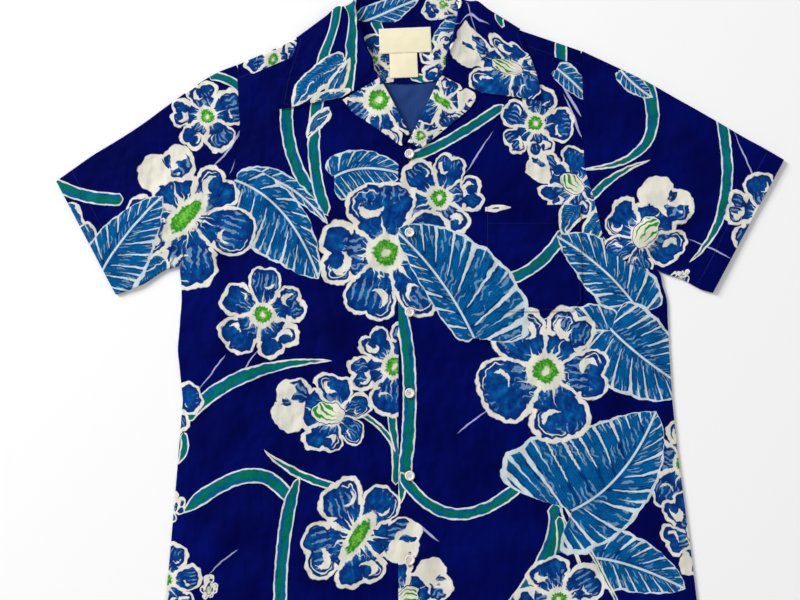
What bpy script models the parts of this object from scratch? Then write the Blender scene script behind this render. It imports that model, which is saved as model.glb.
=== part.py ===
"""Short-sleeved hawaiian shirt with a camp collar, laid flat and face up on a surface.

Metres, +Z up. The origin is the middle of the shirt's outline, on the surface that it lies on. X runs
across the shirt and Y runs from the hem to the collar. Sides are named as the wearer has them, so the
left front is on the +X side. The tables below are in millimetres.
"""

import math

import bmesh
import bpy
from mathutils import Vector

MM = 0.001

# Cloth
WALL = 1.2
GAP = 0.3
LAYER = WALL + GAP
SEAM_GAP = 0.35
LABEL_WALL = 1.0

# Heights of the middle of each layer above the surface
BACK_MID = WALL / 2
FRONT_MID = 3.0
COLLAR_LIFT = LAYER
SHOULDER_RISE = 1.7
LAPEL_OVER_FRONT = 1.8
COLLAR_OVER_FRONT = 2.1

# Upper body, as distances from the centre line
CENTRE_X = -13.0
TURN_Y = 300.0
TURN = math.radians(2.4)
NECK_CENTRE_Y = 350.0
SHOULDER_TIP = (206.0, 302.7)
SHOULDER_SLOPE = 0.392
YOKE_WRAP = 20.4
YOKE_SEAM_Y = 272.0
YOKE_END_X = 205.0
SHOULDER_ROUND = 2.85  # how far inside the shoulder line its fold turns
NECK_X = 69.0

# Placket, pocket, buttons and labels
PLACKET_HALF = 13.0
OVERLAP_END = 16.0
OVERLAP_FADE = 17.0
BUTTON_RADIUS = 5.7
BUTTON_THICK = 2.4
BUTTON_TOP_Y = 184.5
BUTTON_PITCH = 93.6
BUTTON_COUNT = 6
POCKET = {"left": 76.0, "right": 188.0, "top": 124.0, "bottom": -2.0, "corner": 12.0}
NECK_LABEL = {"x": -4.0, "y": 324.0, "width": 62.0, "height": 31.0}
SIZE_LABEL = {"x": -7.0, "y": 293.2, "width": 33.0, "height": 30.0}

# Sides and armholes from the hem up: x, y, and the number of mesh steps to the next point
LEFT_EDGE = (
    (-293, -385, 5), (-285, -274, 5), (-278, -161, 3), (-275, -104, 3), (-282, -46, 3), (-279, 12, 2),
    (-281, 52, 1), (-271, 77, 2), (-254, 107, 2), (-235, 137, 1), (-221, 169, 2), (-214, 215, 2),
)
RIGHT_EDGE = (
    (316, -385, 5), (306, -274, 5), (294, -161, 3), (290, -104, 3), (288, -46, 3), (287, 12, 2),
    (278, 45, 2), (246, 53, 2), (218, 71, 1), (211, 101, 1), (203, 137, 1), (194, 173, 1), (194, 228, 2),
)
ARMPIT_ROW = 6

# Inner edge of a front, the hem up, on the +X side: distance from the centre line, y, mesh steps
FRONT_INNER = (
    (-PLACKET_HALF, -385, 21), (-PLACKET_HALF, 60, 4), (-PLACKET_HALF, 176, 1), (-2.2, 198.3, 3),
    (37.3, 278.3, 1), (50, 292, 1), (60, 311, 1),
)
FRONT_NECK_END = (67.5, 336.6)

# Lapels, as distances from the centre line: the roll line, then the outer edge with its mesh steps
TOP_ROLL = ((-3.5, 199), (36, 279))
TOP_LAPEL_EDGE = ((2, 196.5, 1), (7, 193.8, 1), (13, 191.5, 4), (68, 236, 1), (74, 243.5, 1), (81, 253, 0))
UNDER_ROLL = ((1.5, 210), (36, 279))
UNDER_LAPEL_EDGE = ((6, 201.5, 1), (11, 195, 5), (68, 236, 1), (74, 243.5, 1), (81, 253, 0))

# Back neck seam, as distances from the centre line
BACK_NECK = ((0, 347.5), (30, 347.8), (50, 349), (60, 350.8), (69, 353.6))

# Sleeves: fold along the top from the shoulder to the cuff, and fold along the underarm
LEFT_SLEEVE_TOP = ((-249.5, 282), (-278, 262), (-334, 219), (-390, 183), (-430.5, 153))
LEFT_UNDERARM = ((-283, 51.5), (-301, 46), (-328, 27), (-356, 18))
RIGHT_SLEEVE_TOP = ((263, 278), (320, 245), (376, 211), (430.5, 179))
RIGHT_UNDERARM = ((280.5, 44.5), (307, 35.5), (327, 24), (341, 20))
SLEEVE_ROWS = 10

# Largest soft folds: middle x, y, direction in degrees, length, half width, height
FOLDS = (
    (-236, -20, 84, 150, 15, 4.5),
    (-205, -42, 97, 120, 14, 3.2),
    (-229, -134, 52, 190, 20, 5.0),
    (-229, -262, 57, 120, 17, 5.0),
    (-185, -300, 75, 130, 18, 3.0),
    (-262, 92, 128, 110, 14, 4.0),
    (-300, 110, 152, 120, 15, 3.5),
    (252, 86, 48, 110, 15, 4.0),
    (290, 100, 22, 120, 15, 3.2),
    (245, -10, 100, 140, 16, 3.5),
    (262, -200, 78, 170, 18, 3.0),
    (90, -300, 96, 150, 20, 2.5),
    (-90, -300, 84, 150, 20, 2.5),
)

# Collar, centre back to the left point. Distances from the centre line, y and height of the neck seam
# and of the ridge, then the ridge's outward direction in the plan and its lean from upright, in degrees
COLLAR_RIDGE = (
    (0, 348.1, 2.85, 0, 384.4, 2.8, 90, 90),
    (30, 348.4, 2.85, 30, 384.0, 2.8, 90, 90),
    (50, 349.7, 3.0, 51, 381.8, 4.0, 75, 75),
    (60, 351.6, 3.5, 61, 377.5, 6.5, 60, 50),
    (64.5, 352.5, 4.2, 64, 372.0, 9.5, 45, 25),
    (67.0, 350.5, 5.2, 64, 365.0, 12.0, 30, 5),
    (67.0, 344.5, 6.0, 62.6, 356.5, 13.4, 18, -10),
    (66.0, 335.5, 6.2, 60.0, 344.0, 13.8, 8, -20),
    (62.6, 323.5, 6.2, 55.5, 329.0, 13.4, 0, -28),
    (58.0, 311.0, 6.2, 51.0, 314.0, 12.6, -8, -32),
    (49.0, 294.5, 6.4, 44.5, 298.0, 11.0, -16, -35),
)
# Its outer edge at the same sections: distance from the centre line, y, and how it lies there, as the
# angle round the shoulder fold from under the back (-90) to on the front (90), or past it (None)
COLLAR_EDGE = (
    (0, 337, -90), (38, 337, -90), (76, 336, -90), (132, 328.8, -90), (132, 328.8, -45), (132, 328.8, 0),
    (132, 328.8, 45), (132, 328.8, 90), (140, 306, None), (147, 287, None), (151.5, 270, None),
)
# Past the ridge the collar lies flat from the lapel to its point: seam x, y, then edge x, y
COLLAR_FLAT = (
    (38.2, 280.6, 154, 257),
    (60, 268.2, 155.2, 250),
    (83.5, 255.4, 156, 244),
)
RIDGE_RADIUS = 2.2
WRAP_START = (71.5, 367.0, 6.9, 6.3)
WRAP_END = (132.0, 328.8, 4.45, 3.85)

COLOURS = {
    "print_navy": (0.004, 0.008, 0.12, 1),
    "print_blue": (0.006, 0.06, 0.22, 1),
    "print_teal": (0.005, 0.07, 0.12, 1),
    "print_petal": (0.02, 0.045, 0.17, 1),
    "pearl": (0.58, 0.5, 0.46, 1),
    "label_cream": (0.85, 0.8, 0.6, 1),
}


# Heights

def smooth(t):
    t = min(max(t, 0.0), 1.0)
    return t * t * (3 - 2 * t)


def lift(x, y):
    """How far the collar's fall, which lies under the back, lifts the cloth round the neck."""
    return COLLAR_LIFT * smooth((240 - math.hypot(x - CENTRE_X, y - NECK_CENTRE_Y)) / 100)


def folds(x, y):
    total = 0.0
    for mid_x, mid_y, degrees, length, half_width, height in FOLDS:
        angle = math.radians(degrees)
        along = (x - mid_x) * math.cos(angle) + (y - mid_y) * math.sin(angle)
        across = (y - mid_y) * math.cos(angle) - (x - mid_x) * math.sin(angle)
        ends = max(0.0, 1 - (2 * along / length) ** 2)
        total += height * ends * ends * math.exp(-((across / half_width) ** 2))
    return total


def back_z(x, y):
    return BACK_MID + lift(x, y)


def front_z(x, y):
    return FRONT_MID + lift(x, y) + SHOULDER_RISE * smooth((y - 170) / 140) + folds(x, y)


def overlap_z(x):
    """The left front lies over the right one at the placket, then settles to its level."""
    return LAYER * min(max((OVERLAP_END + OVERLAP_FADE - (x - CENTRE_X)) / OVERLAP_FADE, 0.0), 1.0)


def panel_z(side, x, y):
    return front_z(x, y) + (overlap_z(x) if side > 0 else 0.0)


# Plan

def neck(across, y):
    """A point of the upper body, from its distance to the centre line; the shoulders lie turned a little."""
    angle = TURN * smooth((y - 150) / 130)
    cos, sin = math.cos(angle), math.sin(angle)
    return CENTRE_X + cos * across - sin * (y - TURN_Y), TURN_Y + sin * across + cos * (y - TURN_Y)


def shoulder_y(across):
    return SHOULDER_TIP[1] + (SHOULDER_TIP[0] - abs(across)) * SHOULDER_SLOPE


def mix(a, b, t):
    return tuple(p + (q - p) * t for p, q in zip(a, b))


def stepped(rows, last=None):
    """The points of a path whose rows end in a number of steps, and then the last point."""
    points = [row[:2] for row in rows] + ([last] if last else [])
    path = []
    for start, end, row in zip(points, points[1:], rows):
        path += [mix(start, end, k / row[2]) for k in range(row[2])]
    return path + [points[-1]]


def even(path, count):
    """count + 1 points at even distances along a path."""
    lengths = [math.dist(a, b) for a, b in zip(path, path[1:])]
    points, total = [], sum(lengths)
    for k in range(count + 1):
        left = total * k / count
        for start, end, length in zip(path, path[1:], lengths):
            if left <= length + 1e-9:
                break
            left -= length
        points.append(mix(start, end, min(left / length, 1.0)))
    return points


def moved_in(path, distance_at, towards):
    """A path moved sideways by a distance, towards a point."""
    moved = []
    for k, (x, y) in enumerate(path):
        a, b = path[max(k - 1, 0)], path[min(k + 1, len(path) - 1)]
        run = math.hypot(b[0] - a[0], b[1] - a[1])
        nx, ny = -(b[1] - a[1]) / run, (b[0] - a[0]) / run
        if nx * (towards[0] - x) + ny * (towards[1] - y) < 0:
            nx, ny = -nx, -ny
        distance = distance_at(x, y)
        moved.append((x + nx * distance, y + ny * distance))
    return moved


def side_edge(side):
    """Side seam and armhole from the hem to the yoke's seam with the back."""
    corner = neck(side * YOKE_END_X, YOKE_SEAM_Y)
    return stepped(RIGHT_EDGE if side > 0 else LEFT_EDGE, corner)


# Meshes

def material(name):
    found = bpy.data.materials.get(name)
    if found:
        return found
    made = bpy.data.materials.new(name)
    made.use_nodes = True
    shader = made.node_tree.nodes["Principled BSDF"]
    shader.inputs["Base Color"].default_value = COLOURS[name]
    shader.inputs["Roughness"].default_value = 0.3 if name == "pearl" else 0.75
    shader.inputs["Metallic"].default_value = 0.0
    made.diffuse_color = COLOURS[name]
    return made


def add_object(name, bm, colour):
    bmesh.ops.recalc_face_normals(bm, faces=bm.faces)
    mesh = bpy.data.meshes.new(name)
    bm.to_mesh(mesh)
    bm.free()
    mesh.materials.append(material(colour))
    mesh.shade_smooth()
    mesh.set_sharp_from_angle(angle=math.radians(40))
    made = bpy.data.objects.new(name, mesh)
    bpy.context.scene.collection.objects.link(made)
    return made


def sheet(name, rows, colour, closed=False, keep=None, wall=WALL):
    """One cloth piece: a grid that takes its middle surface from rows of points, with a wall on both sides.

    closed joins the ends of each row into a tube, and keep(row, column) drops the other points.
    """
    count, width = len(rows), len(rows[0])
    bm = bmesh.new()
    bmesh.ops.create_grid(bm, x_segments=width - 1, y_segments=count - 1, size=1.0)
    dropped = []
    for vert in bm.verts:
        column = round((vert.co.x + 1) / 2 * (width - 1))
        row = round((vert.co.y + 1) / 2 * (count - 1))
        vert.co = Vector(rows[row][column]) * MM
        if keep and not keep(row, column):
            dropped.append(vert)
    if dropped:
        bmesh.ops.delete(bm, geom=dropped, context="VERTS")
    if closed:
        bmesh.ops.remove_doubles(bm, verts=bm.verts, dist=1e-6)
    made = add_object(name, bm, colour)
    solid = made.modifiers.new("wall", "SOLIDIFY")
    solid.thickness = wall * MM
    solid.offset = 0.0
    return made


# Pieces

def back():
    left, right = side_edge(-1), side_edge(1)
    columns = 9
    rows = []
    for a, b in zip(left, right):
        points = [mix(a, b, k / columns) for k in range(columns + 1)]
        rows.append([(x, y, back_z(x, y)) for x, y in points])
    return sheet("back", rows, "print_navy")


def front_plan(side):
    """Rows of plan points of a front, from its inner edge to its side seam and armhole."""
    forward_end = neck(side * (YOKE_END_X + 0.4), shoulder_y(YOKE_END_X) - YOKE_WRAP)
    outer = side_edge(side) + [forward_end]
    inner = [neck(side * x, y) for x, y in stepped(FRONT_INNER, FRONT_NECK_END)]
    first = (0, 0.045, 0.097, 0.155)
    columns = 18
    shares = first + tuple(first[-1] + (1 - first[-1]) * k / (columns - 3) for k in range(1, columns - 2))
    return [[mix(a, b, share) for share in shares] for a, b in zip(inner, outer)]


def front(name, side, colour):
    rows = [[(x, y, panel_z(side, x, y)) for x, y in row] for row in front_plan(side)]
    return sheet(name, rows, colour)


def facing(name, side, roll, edge, colour):
    """A lapel: it drops over the front's inner edge at the roll line and lies back on the front."""
    outer = stepped(edge[:-1], edge[-1][:2])
    count = len(outer) - 1
    run = math.dist(*roll)
    normal = ((roll[1][1] - roll[0][1]) / run, -(roll[1][0] - roll[0][0]) / run)
    profile = ((0.6, -0.6), (0.6, 0.4), (1.0, 1.4), (1.9, LAPEL_OVER_FRONT))
    leaf_steps = 5
    rows = []
    for k, far in enumerate(outer):
        near = mix(roll[0], roll[1], k / count)
        reach = math.dist(near, far)
        away = ((far[0] - near[0]) / reach, (far[1] - near[1]) / reach)
        lean = away[0] * normal[0] + away[1] * normal[1]
        points = [(offset / lean, height) for offset, height in profile]
        last = points[-1][0]
        points += [(last + (reach - last) * j / leaf_steps, LAPEL_OVER_FRONT) for j in range(1, leaf_steps + 1)]
        row = []
        for distance, height in points:
            x, y = neck(side * (near[0] + away[0] * distance), near[1] + away[1] * distance)
            row.append((x, y, panel_z(side, x, y) + height))
        rows.append(row)
    return sheet(name, rows, colour)


def back_neck_y(across):
    across = abs(across)
    for (x0, y0), (x1, y1) in zip(BACK_NECK, BACK_NECK[1:]):
        if across <= x1:
            return y0 + (y1 - y0) * (across - x0) / (x1 - x0)
    return None


def yoke():
    """The outer yoke: flat over the back, folded over the shoulders to its seam with the fronts."""
    shoulder = [NECK_X + (YOKE_END_X - NECK_X) * k / 5 for k in range(6)]
    half = [0, 15, 30, 40, 50, 60] + shoulder
    across_all = [-x for x in reversed(half[1:])] + half
    lower_steps, arc_steps, upper_steps = 4, 6, 2
    columns = []
    for across in across_all:
        folded = abs(across) >= NECK_X
        axis_y = shoulder_y(across) - SHOULDER_ROUND
        top = axis_y if folded else back_neck_y(across)
        low = YOKE_SEAM_Y + SEAM_GAP
        column = []
        for k in range(lower_steps + 1):
            x, y = neck(across, low + (top - low) * k / lower_steps)
            column.append((x, y, back_z(x, y)))
        x, y = neck(across, axis_y)
        low_z, high_z = back_z(x, y), front_z(x, y)
        middle, radius = (low_z + high_z) / 2, (high_z - low_z) / 2
        for k in range(1, arc_steps + 1):
            turn = math.pi * k / arc_steps
            px, py = neck(across, axis_y + radius * math.sin(turn) * math.hypot(1, SHOULDER_SLOPE))
            column.append((px, py, middle - radius * math.cos(turn)))
        forward = shoulder_y(across) - YOKE_WRAP + SEAM_GAP + 0.05
        for k in range(1, upper_steps + 1):
            x, y = neck(across, axis_y + (forward - axis_y) * k / upper_steps)
            column.append((x, y, front_z(x, y)))
        columns.append(column)
    rows = [list(row) for row in zip(*columns)]

    def keep(row, column):
        return row <= lower_steps or abs(across_all[column]) >= NECK_X

    return sheet("yoke", rows, "print_teal", keep=keep)


def yoke_lining():
    """The inner yoke, where it shows inside the neck."""
    across_all = (-62, -50, -40, -30, -15, 0, 15, 30, 40, 50, 62)
    rows = []
    for k in range(5):
        row = []
        for across in across_all:
            low = 271 + 5 * smooth(abs(across) / 60)
            x, y = neck(across, low + (back_neck_y(across) - low) * k / 4)
            row.append((x, y, back_z(x, y) + LAYER))
        rows.append(row)
    return sheet("yoke_lining", rows, "print_blue")


def label(name, spec, colour):
    z = BACK_MID + COLLAR_LIFT + LAYER + WALL / 2 + GAP + LABEL_WALL / 2
    rows = []
    for j in (-0.5, 0, 0.5):
        row = []
        for i in (-0.5, 0, 0.5):
            x, y = neck(spec["x"] + i * spec["width"], spec["y"] + j * spec["height"])
            row.append((x, y, z))
        rows.append(row)
    return sheet(name, rows, colour, wall=LABEL_WALL)


def pocket():
    """A patch pocket on the left front, with its lower corners cut off."""
    steps = 6
    rows = []
    for k in range(steps + 2):
        if k <= steps:
            y = POCKET["top"] + (POCKET["bottom"] + POCKET["corner"] - POCKET["top"]) * k / steps
            inset = 0.0
        else:
            y, inset = POCKET["bottom"], POCKET["corner"]
        xs = [POCKET["left"] + inset + (POCKET["right"] - POCKET["left"] - 2 * inset) * j / 7 for j in range(8)]
        rows.append([(x, y, front_z(x, y) + LAYER) for x in xs])
    return sheet("pocket", rows, "print_blue")


def sleeve(name, side, colour):
    """A flattened tube from the armhole to the cuff, folded along its top and its underarm."""
    top_table = RIGHT_SLEEVE_TOP if side > 0 else LEFT_SLEEVE_TOP
    under = RIGHT_UNDERARM if side > 0 else LEFT_UNDERARM
    inside = ((320, 130) if side > 0 else (-330, 130))
    tip = neck(side * SHOULDER_TIP[0], SHOULDER_TIP[1])

    def fold_depth(x, y):
        return (front_z(x, y) - folds(x, y) - back_z(x, y)) / 2 + WALL / 2

    edge = side_edge(side)[sum(row[2] for row in (RIGHT_EDGE if side > 0 else LEFT_EDGE)[:ARMPIT_ROW]):]
    forward_end = neck(side * (YOKE_END_X + 0.4), shoulder_y(YOKE_END_X) - YOKE_WRAP)
    axis_tip = neck(side * (YOKE_END_X + 0.8), shoulder_y(YOKE_END_X) - SHOULDER_ROUND)
    armhole = moved_in(list(reversed(edge + [forward_end, axis_tip])), lambda x, y: SEAM_GAP + 0.1, inside)
    top_fold = moved_in([tip] + list(top_table), fold_depth, inside)
    under_fold = moved_in(list(under), fold_depth, inside)
    top_fold[0] = armhole[0]
    armhole[-1] = under_fold[0]
    top_path, under_path = even(top_fold, SLEEVE_ROWS), even(under_fold, SLEEVE_ROWS)
    lengths = [0.0]
    for a, b in zip(armhole, armhole[1:]):
        lengths.append(lengths[-1] + math.dist(a, b))
    shares = [length / lengths[-1] for length in lengths]
    cuff = [mix(top_path[-1], under_path[-1], w) for w in shares]
    rows = []
    for k in range(SLEEVE_ROWS + 1):
        s = k / SLEEVE_ROWS
        flat = []
        for j, w in enumerate(shares):
            point = []
            for i in (0, 1):
                ruled = (1 - w) * top_path[k][i] + w * under_path[k][i]
                across = (1 - s) * armhole[j][i] + s * cuff[j][i]
                corners = (1 - s) * ((1 - w) * top_path[0][i] + w * under_path[0][i])
                corners += s * ((1 - w) * top_path[-1][i] + w * under_path[-1][i])
                point.append(ruled + across - corners)
            flat.append(tuple(point))
        ring = [(x, y, front_z(x, y)) for x, y in flat]
        ring += fold_arc(flat[-1], outward(under_path, k, inside))
        ring += [(x, y, back_z(x, y)) for x, y in reversed(flat)]
        ring += list(reversed(fold_arc(flat[0], outward(top_path, k, inside))))
        rows.append(ring + [ring[0]])
    return sheet(name, rows, colour, closed=True)


def outward(path, k, inside):
    a, b = path[max(k - 1, 0)], path[min(k + 1, len(path) - 1)]
    run = math.dist(a, b)
    nx, ny = -(b[1] - a[1]) / run, (b[0] - a[0]) / run
    if nx * (inside[0] - path[k][0]) + ny * (inside[1] - path[k][1]) > 0:
        nx, ny = -nx, -ny
    return nx, ny


def fold_arc(point, direction):
    """Three points round a fold, from the upper layer down to the lower one."""
    x, y = point
    high, low = front_z(x, y), back_z(x, y)
    middle, radius = (high + low) / 2, (high - low) / 2
    points = []
    for degrees in (45, 90, 135):
        turn = math.radians(degrees)
        bulge = radius * math.sin(turn)
        points.append((x + direction[0] * bulge, y + direction[1] * bulge, middle + radius * math.cos(turn)))
    return points


def collar_section(ridge_row, edge_row):
    """Points of the collar from its neck seam up to the ridge and down to its outer edge, before the turn."""
    sx, sy, sz, rx, ry, rz, face, lean = ridge_row
    ex, ey, wrap = edge_row
    face, lean = math.radians(face), math.radians(lean)
    out = Vector((math.cos(face), math.sin(face), 0))
    tip = out * math.sin(lean) + Vector((0, 0, math.cos(lean)))
    inner = -out * math.cos(lean) + Vector((0, 0, math.sin(lean)))
    seam, ridge = Vector((sx, sy, sz)), Vector((rx, ry, rz))
    core = ridge - tip * RIDGE_RADIUS
    stand_top = core + inner * RIDGE_RADIUS
    fall_top = core - inner * RIDGE_RADIUS
    half = math.sqrt(0.5) * RIDGE_RADIUS
    points = [seam, seam.lerp(stand_top, 0.5), stand_top, core + (inner + tip) * half, ridge,
              core + (tip - inner) * half, fall_top]
    if wrap is None or ex != WRAP_END[0]:
        edge = Vector((ex, ey, BACK_MID if wrap == -90 else 0))
        if wrap is None:
            edge.z = collar_rest(edge)
        reach = (edge - fall_top).length
        drop = min(0.35 * reach, 0.6 * (fall_top.z - edge.z) / max(math.cos(lean), 0.05))
        if wrap == -90:
            drop = 0.35 * reach
        a = fall_top - tip * drop
        flat_back = Vector((fall_top.x - edge.x, fall_top.y - edge.y, 0)) * 0.35
        b = edge + flat_back
        for t in (0.2, 0.45, 0.72, 1.0):
            u = 1 - t
            p = fall_top * u ** 3 + a * 3 * u * u * t + b * 3 * u * t * t + edge * t ** 3
            if wrap is None:
                p.z = max(p.z, collar_rest(p))
            else:
                p.z = max(p.z, BACK_MID)
            points.append(p)
        return points
    turn = math.radians(wrap)
    run = Vector((WRAP_END[0] - WRAP_START[0], WRAP_END[1] - WRAP_START[1], 0)).normalized()
    away = Vector((-run.y, run.x, 0))
    for t in (0.12, 0.4, 0.7, 1.0):
        x, y, z, radius = mix(WRAP_START, WRAP_END, t)
        points.append(Vector((x, y, z)) + away * radius * math.cos(turn) + Vector((0, 0, radius * math.sin(turn))))
    return points


def collar_rest(point):
    x, y = neck(point.x, point.y)
    return front_z(x, y) + COLLAR_OVER_FRONT


def half_collar():
    sections = [collar_section(*rows) for rows in zip(COLLAR_RIDGE, COLLAR_EDGE)]
    shares = (0, 0.03, 0.06, 0.09, 0.12, 0.15, 0.19, 0.38, 0.58, 0.79, 1.0)
    for sx, sy, ex, ey in COLLAR_FLAT:
        section = []
        for share in shares:
            point = Vector((sx + (ex - sx) * share, sy + (ey - sy) * share, 0))
            point.z = collar_rest(point)
            section.append(point)
        sections.append(section)
    return sections


def collar():
    """One-piece camp collar: it stands up round the neck, rolls over and falls on to the back and fronts."""
    right = half_collar()
    left = [[Vector((-p.x, p.y, p.z)) for p in section] for section in right[:0:-1]]
    rows = []
    for section in left + right:
        row = []
        for p in section:
            x, y = neck(p.x, p.y)
            row.append((x, y, p.z))
        rows.append(row)
    return sheet("collar", rows, "print_petal")


def button(name, y):
    """A dished button, turned from its profile: distance from the axis, height."""
    rim, thick = BUTTON_RADIUS, BUTTON_THICK
    profile = ((0, 0), (rim - 0.8, 0), (rim, 0.8), (rim - 0.1, thick - 0.5), (rim - 0.8, thick),
               (rim - 1.8, thick - 0.5), (0, thick - 0.7))
    x = CENTRE_X
    base = front_z(x, y) + overlap_z(x) + WALL / 2 + GAP
    bm = bmesh.new()
    verts = [bm.verts.new((r * MM, 0, h * MM)) for r, h in profile]
    edges = [bm.edges.new(pair) for pair in zip(verts, verts[1:])]
    bmesh.ops.spin(bm, geom=verts + edges, cent=(0, 0, 0), axis=(0, 0, 1), angle=math.tau, steps=18, use_merge=True)
    bmesh.ops.remove_doubles(bm, verts=bm.verts, dist=1e-6)
    made = add_object(name, bm, "pearl")
    made.location = (x * MM, y * MM, base * MM)
    return made


def main():
    for old in list(bpy.data.objects):
        bpy.data.objects.remove(old)
    back()
    yoke()
    yoke_lining()
    front("front_left", 1, "print_navy")
    front("front_right", -1, "print_navy")
    facing("facing_left", 1, TOP_ROLL, TOP_LAPEL_EDGE, "print_petal")
    facing("facing_right", -1, UNDER_ROLL, UNDER_LAPEL_EDGE, "print_petal")
    collar()
    sleeve("sleeve_left", 1, "print_blue")
    sleeve("sleeve_right", -1, "print_blue")
    pocket()
    label("neck_label", NECK_LABEL, "label_cream")
    label("size_label", SIZE_LABEL, "label_cream")
    for k in range(BUTTON_COUNT):
        button(f"button_{k + 1}", BUTTON_TOP_Y - BUTTON_PITCH * k)


main()
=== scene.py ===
"""Looks of a short-sleeved hawaiian shirt with a camp collar, laid flat and face up on a pale floor.

The tables are in millimetres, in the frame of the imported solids: X runs across the shirt, Y from the hem
to the collar and Z up. Sides are named as the wearer has them, so the left front is on the +X side.
"""

import math
import random

import bmesh
import bpy
import numpy as np
from mathutils import Matrix, Vector


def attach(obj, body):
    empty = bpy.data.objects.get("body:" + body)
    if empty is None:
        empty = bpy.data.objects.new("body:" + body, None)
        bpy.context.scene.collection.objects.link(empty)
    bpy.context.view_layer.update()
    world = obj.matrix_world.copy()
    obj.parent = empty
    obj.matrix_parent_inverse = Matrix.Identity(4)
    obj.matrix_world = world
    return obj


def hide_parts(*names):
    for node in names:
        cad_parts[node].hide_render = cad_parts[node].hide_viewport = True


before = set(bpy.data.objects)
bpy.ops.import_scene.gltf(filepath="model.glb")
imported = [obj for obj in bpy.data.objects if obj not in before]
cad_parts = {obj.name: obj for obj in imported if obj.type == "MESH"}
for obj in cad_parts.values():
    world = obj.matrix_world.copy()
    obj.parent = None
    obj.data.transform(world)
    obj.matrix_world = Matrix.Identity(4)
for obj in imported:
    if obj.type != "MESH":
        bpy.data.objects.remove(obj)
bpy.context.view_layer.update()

MM = 0.001

# Cloth, and the groove and pucker along a hem's stitches
WALL = 1.0
LABEL_WALL = 0.8
LAYER = 1.5
SEAM_GAP = 0.35
HEM = 22.0
HEM_RISE = 0.35
GROOVE_DEPTH, GROOVE_HALF = 0.28, 1.3
PUCKER_HEIGHT, PUCKER_PITCH, PUCKER_HALF = 0.1, 8.3, 7.0

# Sewing: how far a row lies from its edge, the length of a stitch and the thickness of the thread
EDGE_ROW = 5.0
STITCH = 2.7
THREAD = 0.38

# Height of the middle of the back and of the fronts, and what lifts the cloth above them
BACK_MID = 0.6
FRONT_MID = 3.0
COLLAR_LIFT, LIFT_END, LIFT_FADE = LAYER, 240.0, 100.0
SHOULDER_RISE, SHOULDER_START, SHOULDER_FADE = 1.7, 170.0, 140.0
LAPEL_OVER_FRONT = 1.6
COLLAR_OVER_FRONT = 2.0

# Upper body, as distances from the centre line
CENTRE_X = -13.0
HEM_Y = -385.0
TURN, TURN_Y, TURN_START, TURN_FADE = math.radians(2.4), 300.0, 150.0, 130.0
NECK_CENTRE_Y = 350.0
SHOULDER_TIP = (206.0, 302.7)
SHOULDER_SLOPE = 0.392
YOKE_WRAP = 20.4
YOKE_SEAM_Y = 272.0
YOKE_END_X = 205.0
SHOULDER_ROUND = 2.85
NECK_X = 69.0

# Placket, pocket, buttons and labels
PLACKET_HALF = 13.0
OVERLAP_END = 16.0
OVERLAP_FADE = 17.0
BUTTON_RADIUS = 5.7
BUTTON_THICK = 2.4
BUTTON_HOLE, HOLES_OUT = 0.62, 1.35
BUTTON_TOP_Y = 184.5
BUTTON_PITCH = 93.6
BUTTON_COUNT = 6
POCKET = {"left": 76.0, "right": 188.0, "top": 124.0, "bottom": -2.0, "corner": 12.0}
NECK_LABEL = {"x": -4.0, "y": 324.0, "width": 62.0, "height": 31.0}
SIZE_LABEL = {"x": -7.0, "y": 293.2, "width": 33.0, "height": 30.0}

# Sides and armholes from the hem up: x, y, and the number of coarse steps to the next point
LEFT_EDGE = (
    (-293, -385, 5), (-285, -274, 5), (-278, -161, 3), (-275, -104, 3), (-282, -46, 3), (-279, 12, 2),
    (-281, 52, 1), (-271, 77, 2), (-254, 107, 2), (-235, 137, 1), (-221, 169, 2), (-214, 215, 2),
)
RIGHT_EDGE = (
    (316, -385, 5), (306, -274, 5), (294, -161, 3), (290, -104, 3), (288, -46, 3), (287, 12, 2),
    (278, 45, 2), (246, 53, 2), (218, 71, 1), (211, 101, 1), (203, 137, 1), (194, 173, 1), (194, 228, 2),
)
ARMPIT_ROW = 6
# How wide a strip the side seam holds down, and how soon that ends below the armpit
SIDE_HOLD, ARMPIT_FADE = 14.0, 30.0

# Inner edge of a front, the hem up, on the +X side: distance from the centre line, y, coarse steps
FRONT_INNER = (
    (-PLACKET_HALF, -385, 21), (-PLACKET_HALF, 60, 4), (-PLACKET_HALF, 176, 1), (-2.2, 198.3, 3),
    (37.3, 278.3, 1), (50, 292, 1), (60, 311, 1),
)
FRONT_NECK_END = (67.5, 336.6)

# Lapels, as distances from the centre line: the roll line, then the outer edge with its coarse steps
TOP_ROLL = ((-3.5, 199), (36, 279))
TOP_LAPEL_EDGE = ((2, 196.5, 1), (7, 193.8, 1), (13, 191.5, 4), (68, 236, 1), (74, 243.5, 1), (81, 253, 0))
UNDER_ROLL = ((1.5, 210), (36, 279))
UNDER_LAPEL_EDGE = ((6, 201.5, 1), (11, 195, 5), (68, 236, 1), (74, 243.5, 1), (81, 253, 0))

# Back neck seam, as distances from the centre line
BACK_NECK = ((0, 347.5), (30, 347.8), (50, 349), (60, 350.8), (69, 353.6))

# Sleeves: fold along the top from the shoulder to the cuff, and fold along the underarm
LEFT_SLEEVE_TOP = ((-249.5, 282), (-278, 262), (-334, 219), (-390, 183), (-430.5, 153))
LEFT_UNDERARM = ((-283, 51.5), (-301, 46), (-328, 27), (-356, 18))
RIGHT_SLEEVE_TOP = ((263, 278), (320, 245), (376, 211), (430.5, 179))
RIGHT_UNDERARM = ((280.5, 44.5), (307, 35.5), (327, 24), (341, 20))
SLEEVE_ROWS = 10

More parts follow.
